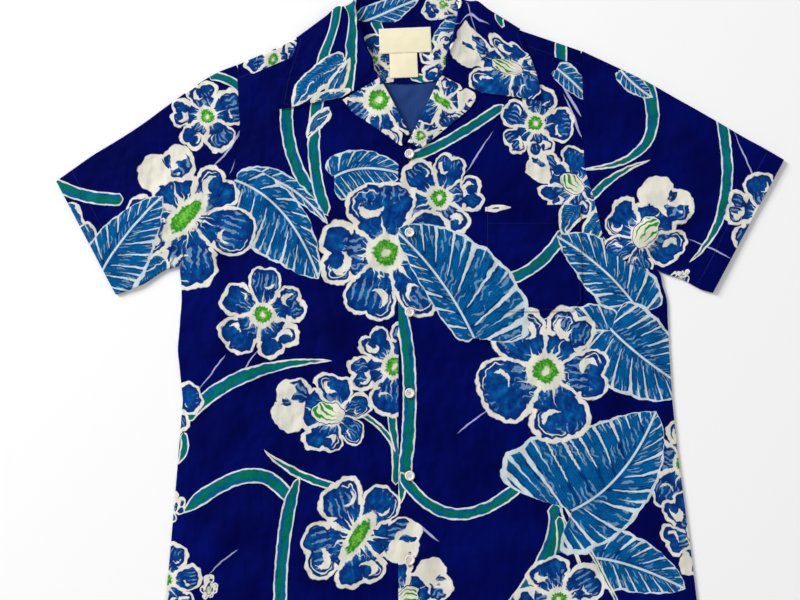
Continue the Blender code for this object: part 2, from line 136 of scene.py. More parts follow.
# Largest soft folds: middle x, y, direction in degrees, length, half width, height
FOLDS = (
    (-236, -20, 84, 150, 15, 4.5),
    (-205, -42, 97, 120, 14, 3.2),
    (-229, -134, 52, 190, 20, 5.0),
    (-229, -262, 57, 120, 17, 5.0),
    (-185, -300, 75, 130, 18, 3.0),
    (-262, 92, 128, 110, 14, 4.0),
    (-300, 110, 152, 120, 15, 3.5),
    (252, 86, 48, 110, 15, 4.0),
    (290, 100, 22, 120, 15, 3.2),
    (245, -10, 100, 140, 16, 3.5),
    (262, -200, 78, 170, 18, 3.0),
    (90, -300, 96, 150, 20, 2.5),
    (-90, -300, 84, 150, 20, 2.5),
)
# Smaller creases, with the same columns: troughs have a height below 0
CREASES = (
    (-252, -34, 80, 90, 7, -0.8),
    (-218, -30, 92, 100, 6, -0.8),
    (-190, -60, 101, 110, 9, 1.7),
    (-214, -118, 50, 150, 8, -0.9),
    (-247, -150, 54, 110, 9, -0.8),
    (-212, -270, 59, 90, 7, -0.8),
    (-248, -255, 55, 80, 8, -0.7),
    (-120, -330, 80, 120, 11, 1.5),
    (-60, -200, 97, 190, 11, 1.1),
    (-160, 60, 70, 130, 10, 1.1),
    (-80, 150, 118, 110, 9, 0.8),
    (60, -160, 84, 200, 11, 1.2),
    (130, -240, 100, 150, 10, 1.5),
    (205, -260, 82, 120, 8, -0.8),
    (235, -70, 96, 110, 7, -0.8),
    (266, -40, 88, 110, 9, 1.7),
    (240, 64, 40, 80, 6, -0.8),
    (268, 76, 56, 90, 7, 1.5),
    (300, 80, 30, 80, 7, -0.7),
    (330, 120, 18, 130, 11, 1.6),
    (-286, 86, 138, 80, 6, -0.8),
    (-320, 90, 155, 120, 10, 1.6),
    (-340, 150, 140, 140, 12, 1.3),
    (180, 200, 60, 120, 12, 1.2),
    (-170, 220, 115, 120, 12, 1.1),
    (-176, -150, 62, 240, 18, 1.8),
    (-128, -250, 71, 200, 14, 1.5),
    (-100, -40, 82, 180, 14, 1.2),
    (148, -150, 84, 220, 15, 1.4),
    (196, -170, 97, 190, 13, 1.3),
    (206, 20, 58, 150, 12, 1.4),
    (-196, 50, 117, 150, 12, 1.4),
    (356, 160, 32, 140, 13, 1.5),
    (-370, 120, 150, 110, 12, 1.3),
)
# Slow waves all over the fronts: the wavelength along x and y, how far it is shifted, and its height
WAVES = ((171, 233, 0.4, 0.28), (97, -141, 1.9, 0.2), (-61, 83, 4.1, 0.12))
WAVES_END, WAVES_FADE = 300.0, 60.0

# Collar, centre back to the left point. Distances from the centre line, y and height of the neck seam
# and of the ridge, then the ridge's outward direction in the plan and its lean from upright, in degrees
COLLAR_RIDGE = (
    (0, 348.1, 2.85, 0, 384.4, 2.8, 90, 90),
    (30, 348.4, 2.85, 30, 384.0, 2.8, 90, 90),
    (50, 349.7, 3.0, 51, 381.8, 4.0, 75, 75),
    (60, 351.6, 3.5, 61, 377.5, 6.5, 60, 50),
    (64.5, 352.5, 4.2, 64, 372.0, 9.5, 45, 25),
    (67.0, 350.5, 5.2, 64, 365.0, 12.0, 30, 5),
    (67.0, 344.5, 6.0, 62.6, 356.5, 13.4, 18, -10),
    (66.0, 335.5, 6.2, 60.0, 344.0, 13.8, 8, -20),
    (62.6, 323.5, 6.2, 55.5, 329.0, 13.4, 0, -28),
    (58.0, 311.0, 6.2, 51.0, 314.0, 12.6, -8, -32),
    (49.0, 294.5, 6.4, 44.5, 298.0, 11.0, -16, -35),
)
# Its outer edge at the same sections: distance from the centre line, y, and how it lies there, as the
# angle round the shoulder fold from under the back (-90) to on the front (90), or past it (None)
COLLAR_EDGE = (
    (0, 337, -90), (38, 337, -90), (76, 336, -90), (132, 328.8, -90), (132, 328.8, -45), (132, 328.8, 0),
    (132, 328.8, 45), (132, 328.8, 90), (140, 306, None), (147, 287, None), (151.5, 270, None),
)
# Past the ridge the collar lies flat from the lapel to its point: seam x, y, then edge x, y
COLLAR_FLAT = (
    (38.2, 280.6, 154, 257),
    (60, 268.2, 155.2, 250),
    (83.5, 255.4, 156, 244),
)
COLLAR_SHARES = (0, 0.03, 0.06, 0.09, 0.12, 0.15, 0.19, 0.38, 0.58, 0.79, 1.0)
# The bend at the ridge, which of a section's points lies on the ridge, and the fine steps between sections
RIDGE_RADIUS = 2.2
RIDGE_POINT = 4
COLLAR_FINE = 8
# Where the fall turns round the shoulder: the middle of its fold and the fold's radius, at both ends
WRAP_START = (71.5, 367.0, 6.9, 6.3)
WRAP_END = (132.0, 328.8, 4.45, 3.85)

# Dyes, as they look in daylight
DYES = {
    "ground": (0, 8, 91),
    "ground_deep": (0, 3, 69),
    "cream": (224, 221, 207),
    "petal": (4, 68, 138),
    "petal_deep": (4, 39, 110),
    "petal_light": (8, 98, 160),
    "pale": (120, 154, 184),
    "vein": (200, 212, 213),
    "lime": (120, 190, 66),
    "green": (40, 140, 34),
    "leaf": (0, 91, 150),
    "leaf_deep": (0, 38, 103),
    "teal": (0, 92, 138),
    "teal_core": (0, 108, 86),
    "stem": (168, 170, 205),
    "wrong_side": (38, 64, 120),
    "label": (250, 241, 205),
    "pearl": (214, 200, 190),
    "thread": (14, 24, 88),
}


# Heights

def smooth(t):
    """A soft step from 0 to 1."""
    t = np.clip(t, 0.0, 1.0)
    return t * t * (3 - 2 * t)


def lift(x, y):
    """How far the collar's fall, which lies under the back, lifts the cloth round the neck."""
    return COLLAR_LIFT * smooth((LIFT_END - np.hypot(x - CENTRE_X, y - NECK_CENTRE_Y)) / LIFT_FADE)


def ridges(table, x, y):
    """The height that a table's folds add, each fading out to its ends and sides."""
    total = 0.0
    for mid_x, mid_y, degrees, length, half_width, height in table:
        angle = math.radians(degrees)
        along = (x - mid_x) * math.cos(angle) + (y - mid_y) * math.sin(angle)
        across = (y - mid_y) * math.cos(angle) - (x - mid_x) * math.sin(angle)
        ends = np.maximum(0.0, 1 - (2 * along / length) ** 2)
        total = total + height * ends * ends * np.exp(-((across / half_width) ** 2))
    return total


def waves(x, y):
    """The shallow, wide unevenness of cloth laid by hand."""
    total = 0.0
    for along_x, along_y, shift, height in WAVES:
        total = total + height * np.sin(x * math.tau / along_x + y * math.tau / along_y + shift)
    return total


def back_z(x, y):
    """The back, which lies flat but for the collar under it."""
    return BACK_MID + lift(x, y)


def front_z(x, y):
    """The fronts, and the sleeves' upper layer, with their folds."""
    rest = FRONT_MID + lift(x, y) + SHOULDER_RISE * smooth((y - SHOULDER_START) / SHOULDER_FADE)
    folded = ridges(FOLDS, x, y) + ridges(CREASES, x, y)
    return rest + folded + waves(x, y) * smooth((WAVES_END - y) / WAVES_FADE)


def overlap_z(x):
    """The left front lies over the right one at the placket, then settles to its level."""
    return LAYER * np.clip((OVERLAP_END + OVERLAP_FADE - (x - CENTRE_X)) / OVERLAP_FADE, 0.0, 1.0)


def panel_z(side, x, y):
    """The wearer's left front (side 1), on top, or the right one."""
    return front_z(x, y) + (overlap_z(x) if side > 0 else 0.0)


def hem_z(distance, along):
    """The turned-up hem: double cloth up to its stitches, which draw it in and pucker it a little."""
    band = HEM_RISE * smooth((HEM + 1.5 - distance) / 2.5)
    groove = GROOVE_DEPTH * np.exp(-(((distance - HEM) / GROOVE_HALF) ** 2))
    pucker = PUCKER_HEIGHT * np.sin(along * math.tau / PUCKER_PITCH)
    return band - groove + pucker * np.exp(-(((distance - HEM) / PUCKER_HALF) ** 2))


# Plan

def neck(across, y):
    """A point of the upper body, from its distance to the centre line; the shoulders lie turned a little."""
    angle = TURN * smooth((y - TURN_START) / TURN_FADE)
    cos, sin = math.cos(angle), math.sin(angle)
    return CENTRE_X + cos * across - sin * (y - TURN_Y), TURN_Y + sin * across + cos * (y - TURN_Y)


def shoulder_y(across):
    """The shoulder's fold at a distance from the centre line."""
    return SHOULDER_TIP[1] + (SHOULDER_TIP[0] - abs(across)) * SHOULDER_SLOPE


def mix(a, b, t):
    """The point at a share t of the way from a to b."""
    return tuple(p + (q - p) * t for p, q in zip(a, b))


def stepped(rows, last=None):
    """The points of a path whose rows end in a number of steps, and then the last point."""
    points = [row[:2] for row in rows] + ([last] if last else [])
    path = []
    for start, end, row in zip(points, points[1:], rows):
        path += [mix(start, end, k / row[2]) for k in range(row[2])]
    return path + [points[-1]]


def even(path, count):
    """count + 1 points at even distances along a path."""
    lengths = [math.dist(a, b) for a, b in zip(path, path[1:])]
    points, total = [], sum(lengths)
    for k in range(count + 1):
        left = total * k / count
        for start, end, length in zip(path, path[1:], lengths):
            if left <= length + 1e-9:
                break
            left -= length
        points.append(mix(start, end, min(left / length, 1.0)))
    return points


def moved_in(path, distance_at, towards):
    """A path moved sideways by a distance, towards a point."""
    moved = []
    for k, (x, y) in enumerate(path):
        a, b = path[max(k - 1, 0)], path[min(k + 1, len(path) - 1)]
        run = math.hypot(b[0] - a[0], b[1] - a[1])
        nx, ny = -(b[1] - a[1]) / run, (b[0] - a[0]) / run
        if nx * (towards[0] - x) + ny * (towards[1] - y) < 0:
            nx, ny = -nx, -ny
        distance = distance_at(x, y)
        moved.append((x + nx * distance, y + ny * distance))
    return moved


def side_edge(side):
    """Side seam and armhole from the hem to the yoke's seam with the back."""
    corner = neck(side * YOKE_END_X, YOKE_SEAM_Y)
    return stepped(RIGHT_EDGE if side > 0 else LEFT_EDGE, corner)


def finer(grid, steps, axis):
    """A grid of points made finer along one axis, on smooth curves through its own points."""
    points = np.moveaxis(np.asarray(grid, float), axis, 0)
    count = len(points) - 1
    steps = [steps] * count if isinstance(steps, int) else list(steps)
    ends = np.concatenate([[2 * points[0] - points[1]], points, [2 * points[-1] - points[-2]]])
    made = []
    for k in range(count):
        a, b, c, d = ends[k:k + 4]
        for j in range(steps[k]):
            t = j / steps[k]
            bend = (2 * a - 5 * b + 4 * c - d) + t * (3 * b - a - 3 * c + d)
            made.append(b + 0.5 * t * ((c - a) + t * bend))
    made.append(points[-1])
    return np.moveaxis(np.array(made), 0, axis)


# Print: each motif gives points of the cloth its own coordinates p and q, and its size in millimetres

class Flower:
    """Petals round a green heart. Its coordinates run to 1 at the petals' tips."""

    kind = 0

    def __init__(self, x, y, radius, turn=0, squash=1.0, seed=0.5):
        self.centre = np.array([x, y], float)
        self.radius = radius
        self.turn = math.radians(turn)
        self.squash = squash
        self.code = self.kind + seed
        self.low = self.centre - radius * 1.15
        self.high = self.centre + radius * 1.15

    def place(self, points):
        away = (points - self.centre) / self.radius
        cos, sin = math.cos(self.turn), math.sin(self.turn)
        p = away[:, 0] * cos + away[:, 1] * sin
        q = (away[:, 1] * cos - away[:, 0] * sin) / self.squash
        return p, q, np.full_like(p, self.radius)

    def depth(self, p, q, size):
        return 1.06 - np.hypot(p, q)

    def whole(self, p, q, size):
        return 0.42 - np.hypot(p, q)


class Hooded(Flower):
    """A flower half turned away: its heart is under a pale hood, or from a seed of 0.7 drawn out long."""

    kind = 1


class Strip:
    """A shape along a curve through three points.

    p runs along it from 0 to 1, q is the distance to its left in centimetres, and its size is half its width.
    depth is above 0 where the shape may show and whole where it surely hides what lies under it.
    """

    samples = 24

    def __init__(self, start, middle, end):
        start, middle, end = (np.array(point, float) for point in (start, middle, end))
        bend = 2 * middle - (start + end) / 2
        t = np.linspace(0, 1, self.samples + 1)[:, None]
        self.path = (1 - t) ** 2 * start + 2 * t * (1 - t) * bend + t ** 2 * end
        self.length = np.linalg.norm(np.diff(self.path, axis=0), axis=1).sum()

    def nearest(self, points, run_on=False):
        """(p, signed distance) of points: the distance is positive to the left of the curve.

        Where it runs on past its ends, p goes below 0 and above 1 there.
        """
        a, b = self.path[:-1], self.path[1:]
        run = b - a
        away = points[:, None] - a
        t = (away * run).sum(2) / (run ** 2).sum(1)
        low, high = np.zeros(self.samples), np.ones(self.samples)
        if run_on:
            low[0], high[-1] = -99, 99
        t = np.clip(t, low, high)
        gap = np.linalg.norm(away - t[..., None] * run, axis=2)
        best = gap.argmin(1)
        rows = np.arange(len(points))
        side = run[best, 0] * away[rows, best, 1] - run[best, 1] * away[rows, best, 0]
        return (best + t[rows, best]) / self.samples, gap[rows, best] * np.where(side < 0, -1, 1)

    def bound(self, reach):
        self.low = self.path.min(0) - reach
        self.high = self.path.max(0) + reach

    def depth(self, p, q, size):
        return size * 1.1 + 1.0 - np.abs(q) * 10

    def whole(self, p, q, size):
        return size * 0.7 - 3.0 - np.abs(q) * 10


class Leaf(Strip):
    """A leaf along its midrib, with its widest reach to the left and to the right of it.

    p counts its veins, which fan out from its base. Its lobes reach back past its base by a share of its
    length. widest is the top of the curve that its outline follows.
    """

    kind = 2
    widest = 0.431

    def __init__(self, start, middle, end, left, right, seed=0.5, veins=8, back=0.45):
        super().__init__(start, middle, end)
        self.sides = (left, right)
        self.veins = veins
        self.back = back
        self.code = self.kind + seed
        self.bound(max(left, right) * 1.3)

    def place(self, points):
        p, distance = self.nearest(points, True)
        side = np.where(distance >= 0, self.sides[0], self.sides[1])
        share = np.minimum(abs(distance) / side, 1.0)
        back = self.back * np.minimum(side / self.length * 2.0, 1.0) * share
        along = np.clip((p + back) / (1 + back), 0, 1)
        half = side * along ** 0.5 * (1 - along) ** 0.75 / self.widest
        fan = 0.9 - 1.6 * side / self.length
        reach = abs(distance) / self.length
        vein = (p - fan * reach) / (1 + 1.6 * reach) * self.veins
        return vein, distance * 0.1, half


class Petal(Leaf):
    """A lone petal or bud: a leaf's shape without veins."""

    kind = 3


class Blade(Strip):
    """A grass blade, with a share of its length at each end drawn out to a point."""

    kind = 4

    def __init__(self, start, middle, end, width, points=(0.05, 0.05), seed=0.5):
        super().__init__(start, middle, end)
        self.half = width / 2
        self.points = points
        self.code = self.kind + seed
        self.bound(width)

    def place(self, points):
        p, distance = self.nearest(points)
        half = np.full_like(p, self.half)
        for share, left in zip(self.points, (p, 1 - p)):
            if share:
                half = half * np.clip(left / share, 0, 1) ** 0.6
        return p, distance * 0.1, half


class Stem(Blade):
    """A thin line with pointed ends."""

    kind = 5

    def __init__(self, start, middle, end, width=2.0):
        super().__init__(start, middle, end, width, (0.5, 0.2))


# Motifs that are cut apart by a seam or the placket, and so are on more than one piece
CENTRE_FLOWER = Flower(-41, 67, 90, 100, 1.0, 0.31)
BOTTOM_FLOWER = Hooded(-72, -258, 76, 56, 0.86, 0.724)
SLEEVE_FLOWER = Hooded(-276, 110, 86, 50, 1.0, 0.78)
CENTRE_LEAF = Leaf((61, -31), (22, 36), (-30, 94), 24, 74, 0.26)
ARM_BLADE = Blade((-290, 58), (-268, 73), (-244, 88), 14, seed=0.3)

RIGHT_FRONT_PRINT = [
    Stem((-262, -100), (-241, -72), (-226, -52)),
    Stem((-241, -301), (-226, -286), (-208, -272)),
    Stem((-184, -42), (-198, -60), (-210, -82)),
    Stem((-149, 302), (-151, 288), (-156, 268)),
    Blade((-266, -120), (-197, -74), (-103, -59), 17, (0, 0.55), 0.2),
    Blade((-272, -232), (-196, -190), (-148, -222), 17, (0.1, 0.1), 0.4),
    Blade((-180, -161), (-138, -189), (-82, -206), 10, (0.4, 0), 0.6),
    Blade((-139, -192), (-156, -262), (-160, -390), 16, (0.25, 0), 0.5),
    Blade((-272, -146), (-272, -163), (-280, -178), 10, (0, 0.5), 0.9),
    Blade((-158, 250), (-150, 180), (-110, 112), 16, seed=0.7),
    Blade((-118, 270), (-126, 186), (-110, 112), 15, seed=0.1),
    Blade((-37, -105), (-30, -155), (-29, -200), 10, seed=0.8),
    Blade((-70, -120), (-44, -138), (-30, -164), 7, (0, 0.3), 0.3),
    ARM_BLADE,
    Leaf((-214, 158), (-160, 148), (-108, 100), 13, 11, 0.45),
    Leaf((-217, 153), (-160, 112), (-119, 36), 24, 68, 0.62),
    Leaf((-101, 158), (-64, 168), (-18, 160), 24, 34, 0.18),
    Petal((-108, 236), (-124, 222), (-134, 204), 9, 9, 0.2),
    Flower(-294, -108, 44, 20, 1.0, 0.27),
    Hooded(-286, -228, 26, 80, 0.8, 0.5),
    Flower(-290, -308, 46, 10, 1.0, 0.71),
    Hooded(-240, -318, 18, 90, 0.8, 0.38),
    SLEEVE_FLOWER,
    Flower(-184, -6, 58, 12, 1.0, 0.52),
    Flower(-31, -66, 59, 200, 1.0, 0.83),
    Hooded(-99, -121, 73, 168, 0.95, 0.34),
    BOTTOM_FLOWER,
    CENTRE_FLOWER,
]

LEFT_FRONT_LOWER = [
    Stem((84, -112), (62, -126), (41, -143)),
    Stem((-8, -240), (4, -251), (20, -264), 3.0),
    Blade((-24, 0), (-13, -98), (-24, -222), 16, (0, 0.12), 0.15),
    Blade((-24, -186), (38, -233), (116, -198), 14, seed=0.65),
    Blade((150, -222), (136, -290), (52, -390), 18, seed=0.35),
    Blade((157, -236), (158, -268), (150, -300), 11, seed=0.95),
    Blade((92, 34), (134, 52), (170, 94), 15, seed=0.55),
    Leaf((92, -31), (110, -12), (136, 0), 15, 14, 0.4),
    Petal((206, 126), (180, 116), (168, 84), 15, 17, 0.3),
    Petal((214, 112), (200, 92), (196, 62), 14, 12, 0.8),
    Leaf((252, 0), (212, 48), (160, 86), 32, 40, 0.33),
    Leaf((224, -26), (178, -24), (120, -34), 34, 30, 0.81, veins=7),
    Leaf((222, -24), (262, -60), (314, -94), 48, 54, 0.57),
    Leaf((196, -282), (242, -292), (298, -316), 36, 32, 0.48, veins=7),
    Blade((158, -226), (176, -279), (198, -350), 4.2, (0.2, 0.1)),
    Blade((162, -224), (192, -275), (230, -350), 5.0, (0.2, 0.1)),
    Flower(302, -178, 56, 170, 1.0, 0.22),
    Leaf((174, -228), (229, -186), (270, -118), 92, 50, 0.14, back=0.85),
    Hooded(316, -262, 62, 120, 0.95, 0.66),
    Flower(155, -328, 56, 40, 1.0, 0.9),
    Hooded(-22, -326, 60, 28, 0.95, 0.35),
    Flower(144, -71, 86, 62, 1.0, 0.05),
    BOTTOM_FLOWER,
]

LEFT_FRONT_PRINT = [
    Stem((87, 214), (71, 190), (54, 163)),
    Stem((162, 280), (178, 253), (191, 230), 3.4),
    Stem((170, 258), (181, 233), (190, 204), 3.0),
    Blade((-12, 180), (41, 206), (98, 244), 13, seed=0.25),
    Leaf((164, 288), (184, 270), (204, 248), 15, 13, 0.7),
    *LEFT_FRONT_LOWER,
    Hooded(184, 146, 64, 142, 0.95, 0.62),
    Flower(137, 222, 49, 75, 0.95, 0.42),
    Flower(22, 133, 59, 70, 0.98, 0.68),
    CENTRE_FLOWER,
    CENTRE_LEAF,
]

POCKET_PRINT = [*LEFT_FRONT_LOWER, Petal((74, 118), (90, 120), (108, 121), 4.5, 4.5, 0.45), CENTRE_LEAF]

RIGHT_SLEEVE_PRINT = [
    Stem((-250, 166), (-228, 190), (-211, 220), 3.2),
    Stem((-226, 160), (-216, 184), (-209, 210), 3.0),
    Blade((-440, 153), (-395, 135), (-350, 131), 16, seed=0.6),
    Blade((-252, 281), (-229, 275), (-212, 262), 12, seed=0.4),
    ARM_BLADE,
    Flower(-253, 231, 50, 95, 0.95, 0.47),
    SLEEVE_FLOWER,
    Petal((-416, 126), (-408, 104), (-384, 66), 14, 18, 0.3),
    Petal((-396, 100), (-386, 84), (-380, 60), 9, 12, 0.6),
    Petal((-300, 60), (-330, 40), (-362, 22), 16, 14, 0.9),
    Leaf((-376, 36), (-350, 82), (-304, 134), 30, 46, 0.37),
]

LEFT_SLEEVE_PRINT = [
    Stem((312, 84), (337, 74), (364, 60)),
    Stem((370, 218), (384, 180), (400, 142)),
    Blade((262, 290), (268, 200), (186, 166), 18, (0, 0.85), 0.5),
    Blade((355, 240), (358, 130), (314, 56), 14, (0, 0.5), 0.75),
    Blade((178, 98), (216, 148), (272, 178), 11, (0, 0.5), 0.35),
    Leaf((240, 286), (257, 268), (276, 254), 13, 12, 0.52),
    Leaf((178, 98), (198, 68), (216, 44), 26, 24, 0.61),
    Hooded(304, 38, 20, 250, 0.8, 0.4),
    Flower(406, 112, 56, 30, 1.0, 0.58),
    Hooded(258, 84, 79, 56, 0.95, 0.34),
]

COLLAR_PRINT = [
    Stem((54, 373), (62, 355), (70, 334), 1.5),
    Stem((34, 339), (60, 343), (92, 347), 1.5),
    Blade((-86, 384), (-83, 312), (-90, 240), 15, seed=0.3),
    Blade((-98, 372), (-111, 337), (-121, 290), 15, seed=0.55),
    Blade((60, 430), (96, 392), (108, 350), 13, seed=0.15),
    Leaf((-66, 345), (-36, 360), (-2, 374), 17, 17, 0.6),
    Leaf((-20, 388), (-60, 402), (-104, 400), 20, 22, 0.2),
    Flower(26, 368, 28, 60, 0.9, 0.8),
    Flower(30, 418, 40, 60, 1.0, 0.45),
    Petal((-92, 296), (-120, 278), (-152, 240), 17, 22, 0.7),
    Petal((-108, 256), (-96, 274), (-84, 304), 10, 10, 0.2),
    Petal((-128, 244), (-106, 254), (-82, 262), 9, 11, 0.5),
    Hooded(112, 290, 76, 160, 0.95, 0.07),
]

INNER_YOKE_PRINT = [
    Blade((-56, 350), (-48, 335), (-42, 318), 12, seed=0.4),
    Blade((-12, 280), (6, 276), (30, 268), 11, seed=0.7),
    Leaf((60, 345), (36, 330), (14, 300), 20, 20, 0.5),
    Flower(34, 300, 40, 20, 1.0, 0.6),
    Flower(-56, 300, 34, 90, 1.0, 0.3),
]

YOKE_PRINT = [Flower(-176, 300, 43, 100, 0.9, 0.36), Blade((168, 340), (168, 306), (167, 280), 15)]

RIGHT_LAPEL_PRINT = [
    Petal((-64, 242), (-74, 230), (-74, 212), 10, 10, 0.4),
    Flower(-50, 250, 76, 60, 0.95, 0.28),
]
LEFT_LAPEL_PRINT = [Flower(0, 206, 36, 40, 0.9, 0.55), Hooded(26, 248, 44, 140, 0.9, 0.86)]


def past(motifs, start, end):
    """Those of the motifs that lie wholly to the left of a line."""
    way = (end[0] - start[0], end[1] - start[1])

    def beyond(x, y):
        return way[0] * (y - start[1]) - way[1] * (x - start[0]) > 0

    def clear(motif):
        corners = [(x, y) for x in (motif.low[0], motif.high[0]) for y in (motif.low[1], motif.high[1])]
        return all(beyond(x, y) for x, y in corners)

    return [motif for motif in motifs if clear(motif)]


def scattered(left, right, bottom, top, lot):
    """Print where the shirt hides it: motifs in staggered rows, each a little off its place."""
    draw = random.Random(lot)
    pitch_x, pitch_y = 158.0, 132.0
    blades, leaves, flowers = [], [], []
    for row in range(int((top - bottom) / pitch_y) + 2):
        for column in range(int((right - left) / pitch_x) + 2):
            x = left + (column + 0.5 * (row % 2)) * pitch_x + draw.uniform(-22, 22)
            y = bottom + row * pitch_y + draw.uniform(-18, 18)
            turn, radius, seed = draw.uniform(0, 360), draw.uniform(46, 72), draw.uniform(0.05, 0.95)
            kind = Hooded if draw.random() < 0.4 else Flower
            flowers.append(kind(x, y, radius, turn, 0.95, seed))
            way = Vector((1, 0))
            way.rotate(Matrix.Rotation(draw.uniform(0.3, 1.2) + math.pi * (column % 2), 2))
            start = Vector((x, y)) + way * 34
            end = start + way * draw.uniform(95, 125)
            middle = (start + end) / 2 + Vector((-way.y, way.x)) * draw.uniform(-10, 10)
            leaves.append(Leaf(start, middle, end, draw.uniform(24, 52), draw.uniform(24, 52),
                               draw.uniform(0.05, 0.95)))
            far = Vector((x + draw.uniform(90, 150), y + draw.uniform(-110, -50)))
            middle = (Vector((x, y)) + far) / 2 + Vector((draw.uniform(-30, 30), draw.uniform(-30, 30)))
            blades.append(Blade((x, y), middle, far, draw.uniform(10, 16), (0, draw.choice((0, 0.4))),
                                draw.uniform(0.05, 0.95)))
    return blades + leaves + flowers


# The layers of the print, from the top, and the code of a layer without a motif
LAYERS = ("motif_over", "motif_under", "motif_lowest")
BARE = -0.5


def lay_print(corners, motifs):
    """The three uppermost motifs on each face: their coordinates and code at its corners, and their sizes.

    corners are the faces' corners on the flat cloth, as faces x 4 x 2.
    """
    count, depth = len(corners), len(LAYERS)
    layers = np.full((depth, count, 4, 3), BARE)
    sizes = np.ones((count, 4, depth))
    filled = np.zeros(count, int)
    low, high = corners.min(1), corners.max(1)
    for motif in reversed(motifs):
        near = np.flatnonzero((filled < depth) & (high >= motif.low).all(1) & (low <= motif.high).all(1))
        if not len(near):
            continue
        p, q, size = motif.place(corners[near].reshape(-1, 2))
        touched = motif.depth(p, q, size).reshape(-1, 4).max(1) > 0
        hidden = motif.whole(p, q, size).reshape(-1, 4).min(1) > 0
        values = np.stack([p, q, np.full_like(p, motif.code)], 1).reshape(-1, 4, 3)
        faces = near[touched]
        level = filled[faces]
        layers[level, faces] = values[touched]
        sizes[faces, :, level] = size.reshape(-1, 4)[touched]
        filled[faces] = np.where(hidden[touched], depth, level + 1)
    return layers, sizes


# Finishes

def dye(name):
    """A dye's colour in linear light."""
    shares = [value / 255 for value in DYES[name]]
    return (*(c / 12.92 if c <= 0.04045 else ((c + 0.055) / 1.055) ** 2.4 for c in shares), 1.0)


class Value:
    """A number that varies over a surface. Python's operators add the Math nodes."""

    def __init__(self, finish, socket):
        self.finish = finish
        self.socket = socket

    def math(self, operation, *others):
        return self.finish.math(operation, self, *others)

    def __add__(self, other):
        return self.math("ADD", other)

    def __mul__(self, other):
        return self.math("MULTIPLY", other)

    __radd__, __rmul__ = __add__, __mul__

    def __sub__(self, other):
        return self.math("SUBTRACT", other)

    def __rsub__(self, other):
        return self.finish.math("SUBTRACT", other, self)

    def __truediv__(self, other):
        return self.math("DIVIDE", other)

    def __rtruediv__(self, other):
        return self.finish.math("DIVIDE", other, self)

    def __pow__(self, other):
        return self.math("POWER", other)

    def __abs__(self):
        return self.math("ABSOLUTE")

    def sin(self):
        return self.math("SINE")

    def floor(self):
        return self.math("FLOOR")

    def fraction(self):
        return self.math("FRACT")

    def least(self, other):
        return self.math("MINIMUM", other)

    def most(self, other):
        return self.math("MAXIMUM", other)

    def rise(self, low, high):
        """0 below low, 1 above high and even in between."""
        ends = {"Value": self, "From Min": low, "From Max": high}
        return self.finish.node("ShaderNodeMapRange", {"clamp": True}, ends)


class Finish:
    """One material and the methods that add its nodes."""

    def __init__(self, name, roughness):
        self.material = bpy.data.materials.new(name)
        self.material.use_nodes = True
        self.tree = self.material.node_tree
        self.shader = self.tree.nodes["Principled BSDF"]
        self.shader.inputs["Roughness"].default_value = roughness

    def node(self, kind, settings=None, inputs=None, output=0):
        made = self.tree.nodes.new(kind)
        for key, value in (settings or {}).items():
            setattr(made, key, value)
        for key, value in (inputs or {}).items():
            self.feed(made.inputs[key], value)
        return Value(self, made.outputs[output])

    def math(self, operation, *values):
        return self.node("ShaderNodeMath", {"operation": operation}, dict(enumerate(values)))

    def vector_math(self, operation, first, second):
        return self.node("ShaderNodeVectorMath", {"operation": operation}, {0: first, 1: second})

    def feed(self, socket, value):
        if isinstance(value, Value):
            self.tree.links.new(value.socket, socket)
        else:
            socket.default_value = value

    def blend(self, low, high, factor):
        """The colour low where factor is 0 and high where it is 1."""
        low, high = (dye(c) if isinstance(c, str) else c for c in (low, high))
        return self.node("ShaderNodeMix", {"data_type": "RGBA"}, {0: factor, 6: low, 7: high}, 2)

    def parts(self, vector):
        """The three numbers of a vector."""
        split = self.tree.nodes.new("ShaderNodeSeparateXYZ")
        self.feed(split.inputs[0], vector)
        return [Value(self, output) for output in split.outputs]

    def stored(self, name):
        return self.parts(self.node("ShaderNodeAttribute", {"attribute_name": name}, output="Vector"))

    def noise(self, where, scale, detail=2.0):
        """Three unlike noises round 0."""
        inputs = {"Vector": where, "Scale": scale, "Detail": detail}
        cloud = self.node("ShaderNodeTexNoise", {"noise_dimensions": "2D"}, inputs, "Color")
        return self.parts(self.vector_math("SUBTRACT", cloud, (0.5, 0.5, 0.5)))

    def bump(self, height, distance, strength):
        inputs = {"Height": height, "Distance": distance, "Strength": strength}
        self.feed(self.shader.inputs["Normal"], self.node("ShaderNodeBump", None, inputs))

    def coloured(self, colour):
        """The finished material, with its colour."""
        self.feed(self.shader.inputs["Base Color"], colour)
        return self.material


class Hand:
    """What makes the drawing uneven, the same for all motifs: two noises, and how far they push it in mm."""

    def __init__(self, finish, where):
        self.slow = finish.noise(where, 85.0, 1.0)
        self.fine = finish.noise(where, 330.0, 2.0)
        self.sway_x, self.sway_y = (self.slow[k] * 7.0 + self.fine[k] * 0.6 for k in (0, 1))


PETAL_TURN = math.tau / 5


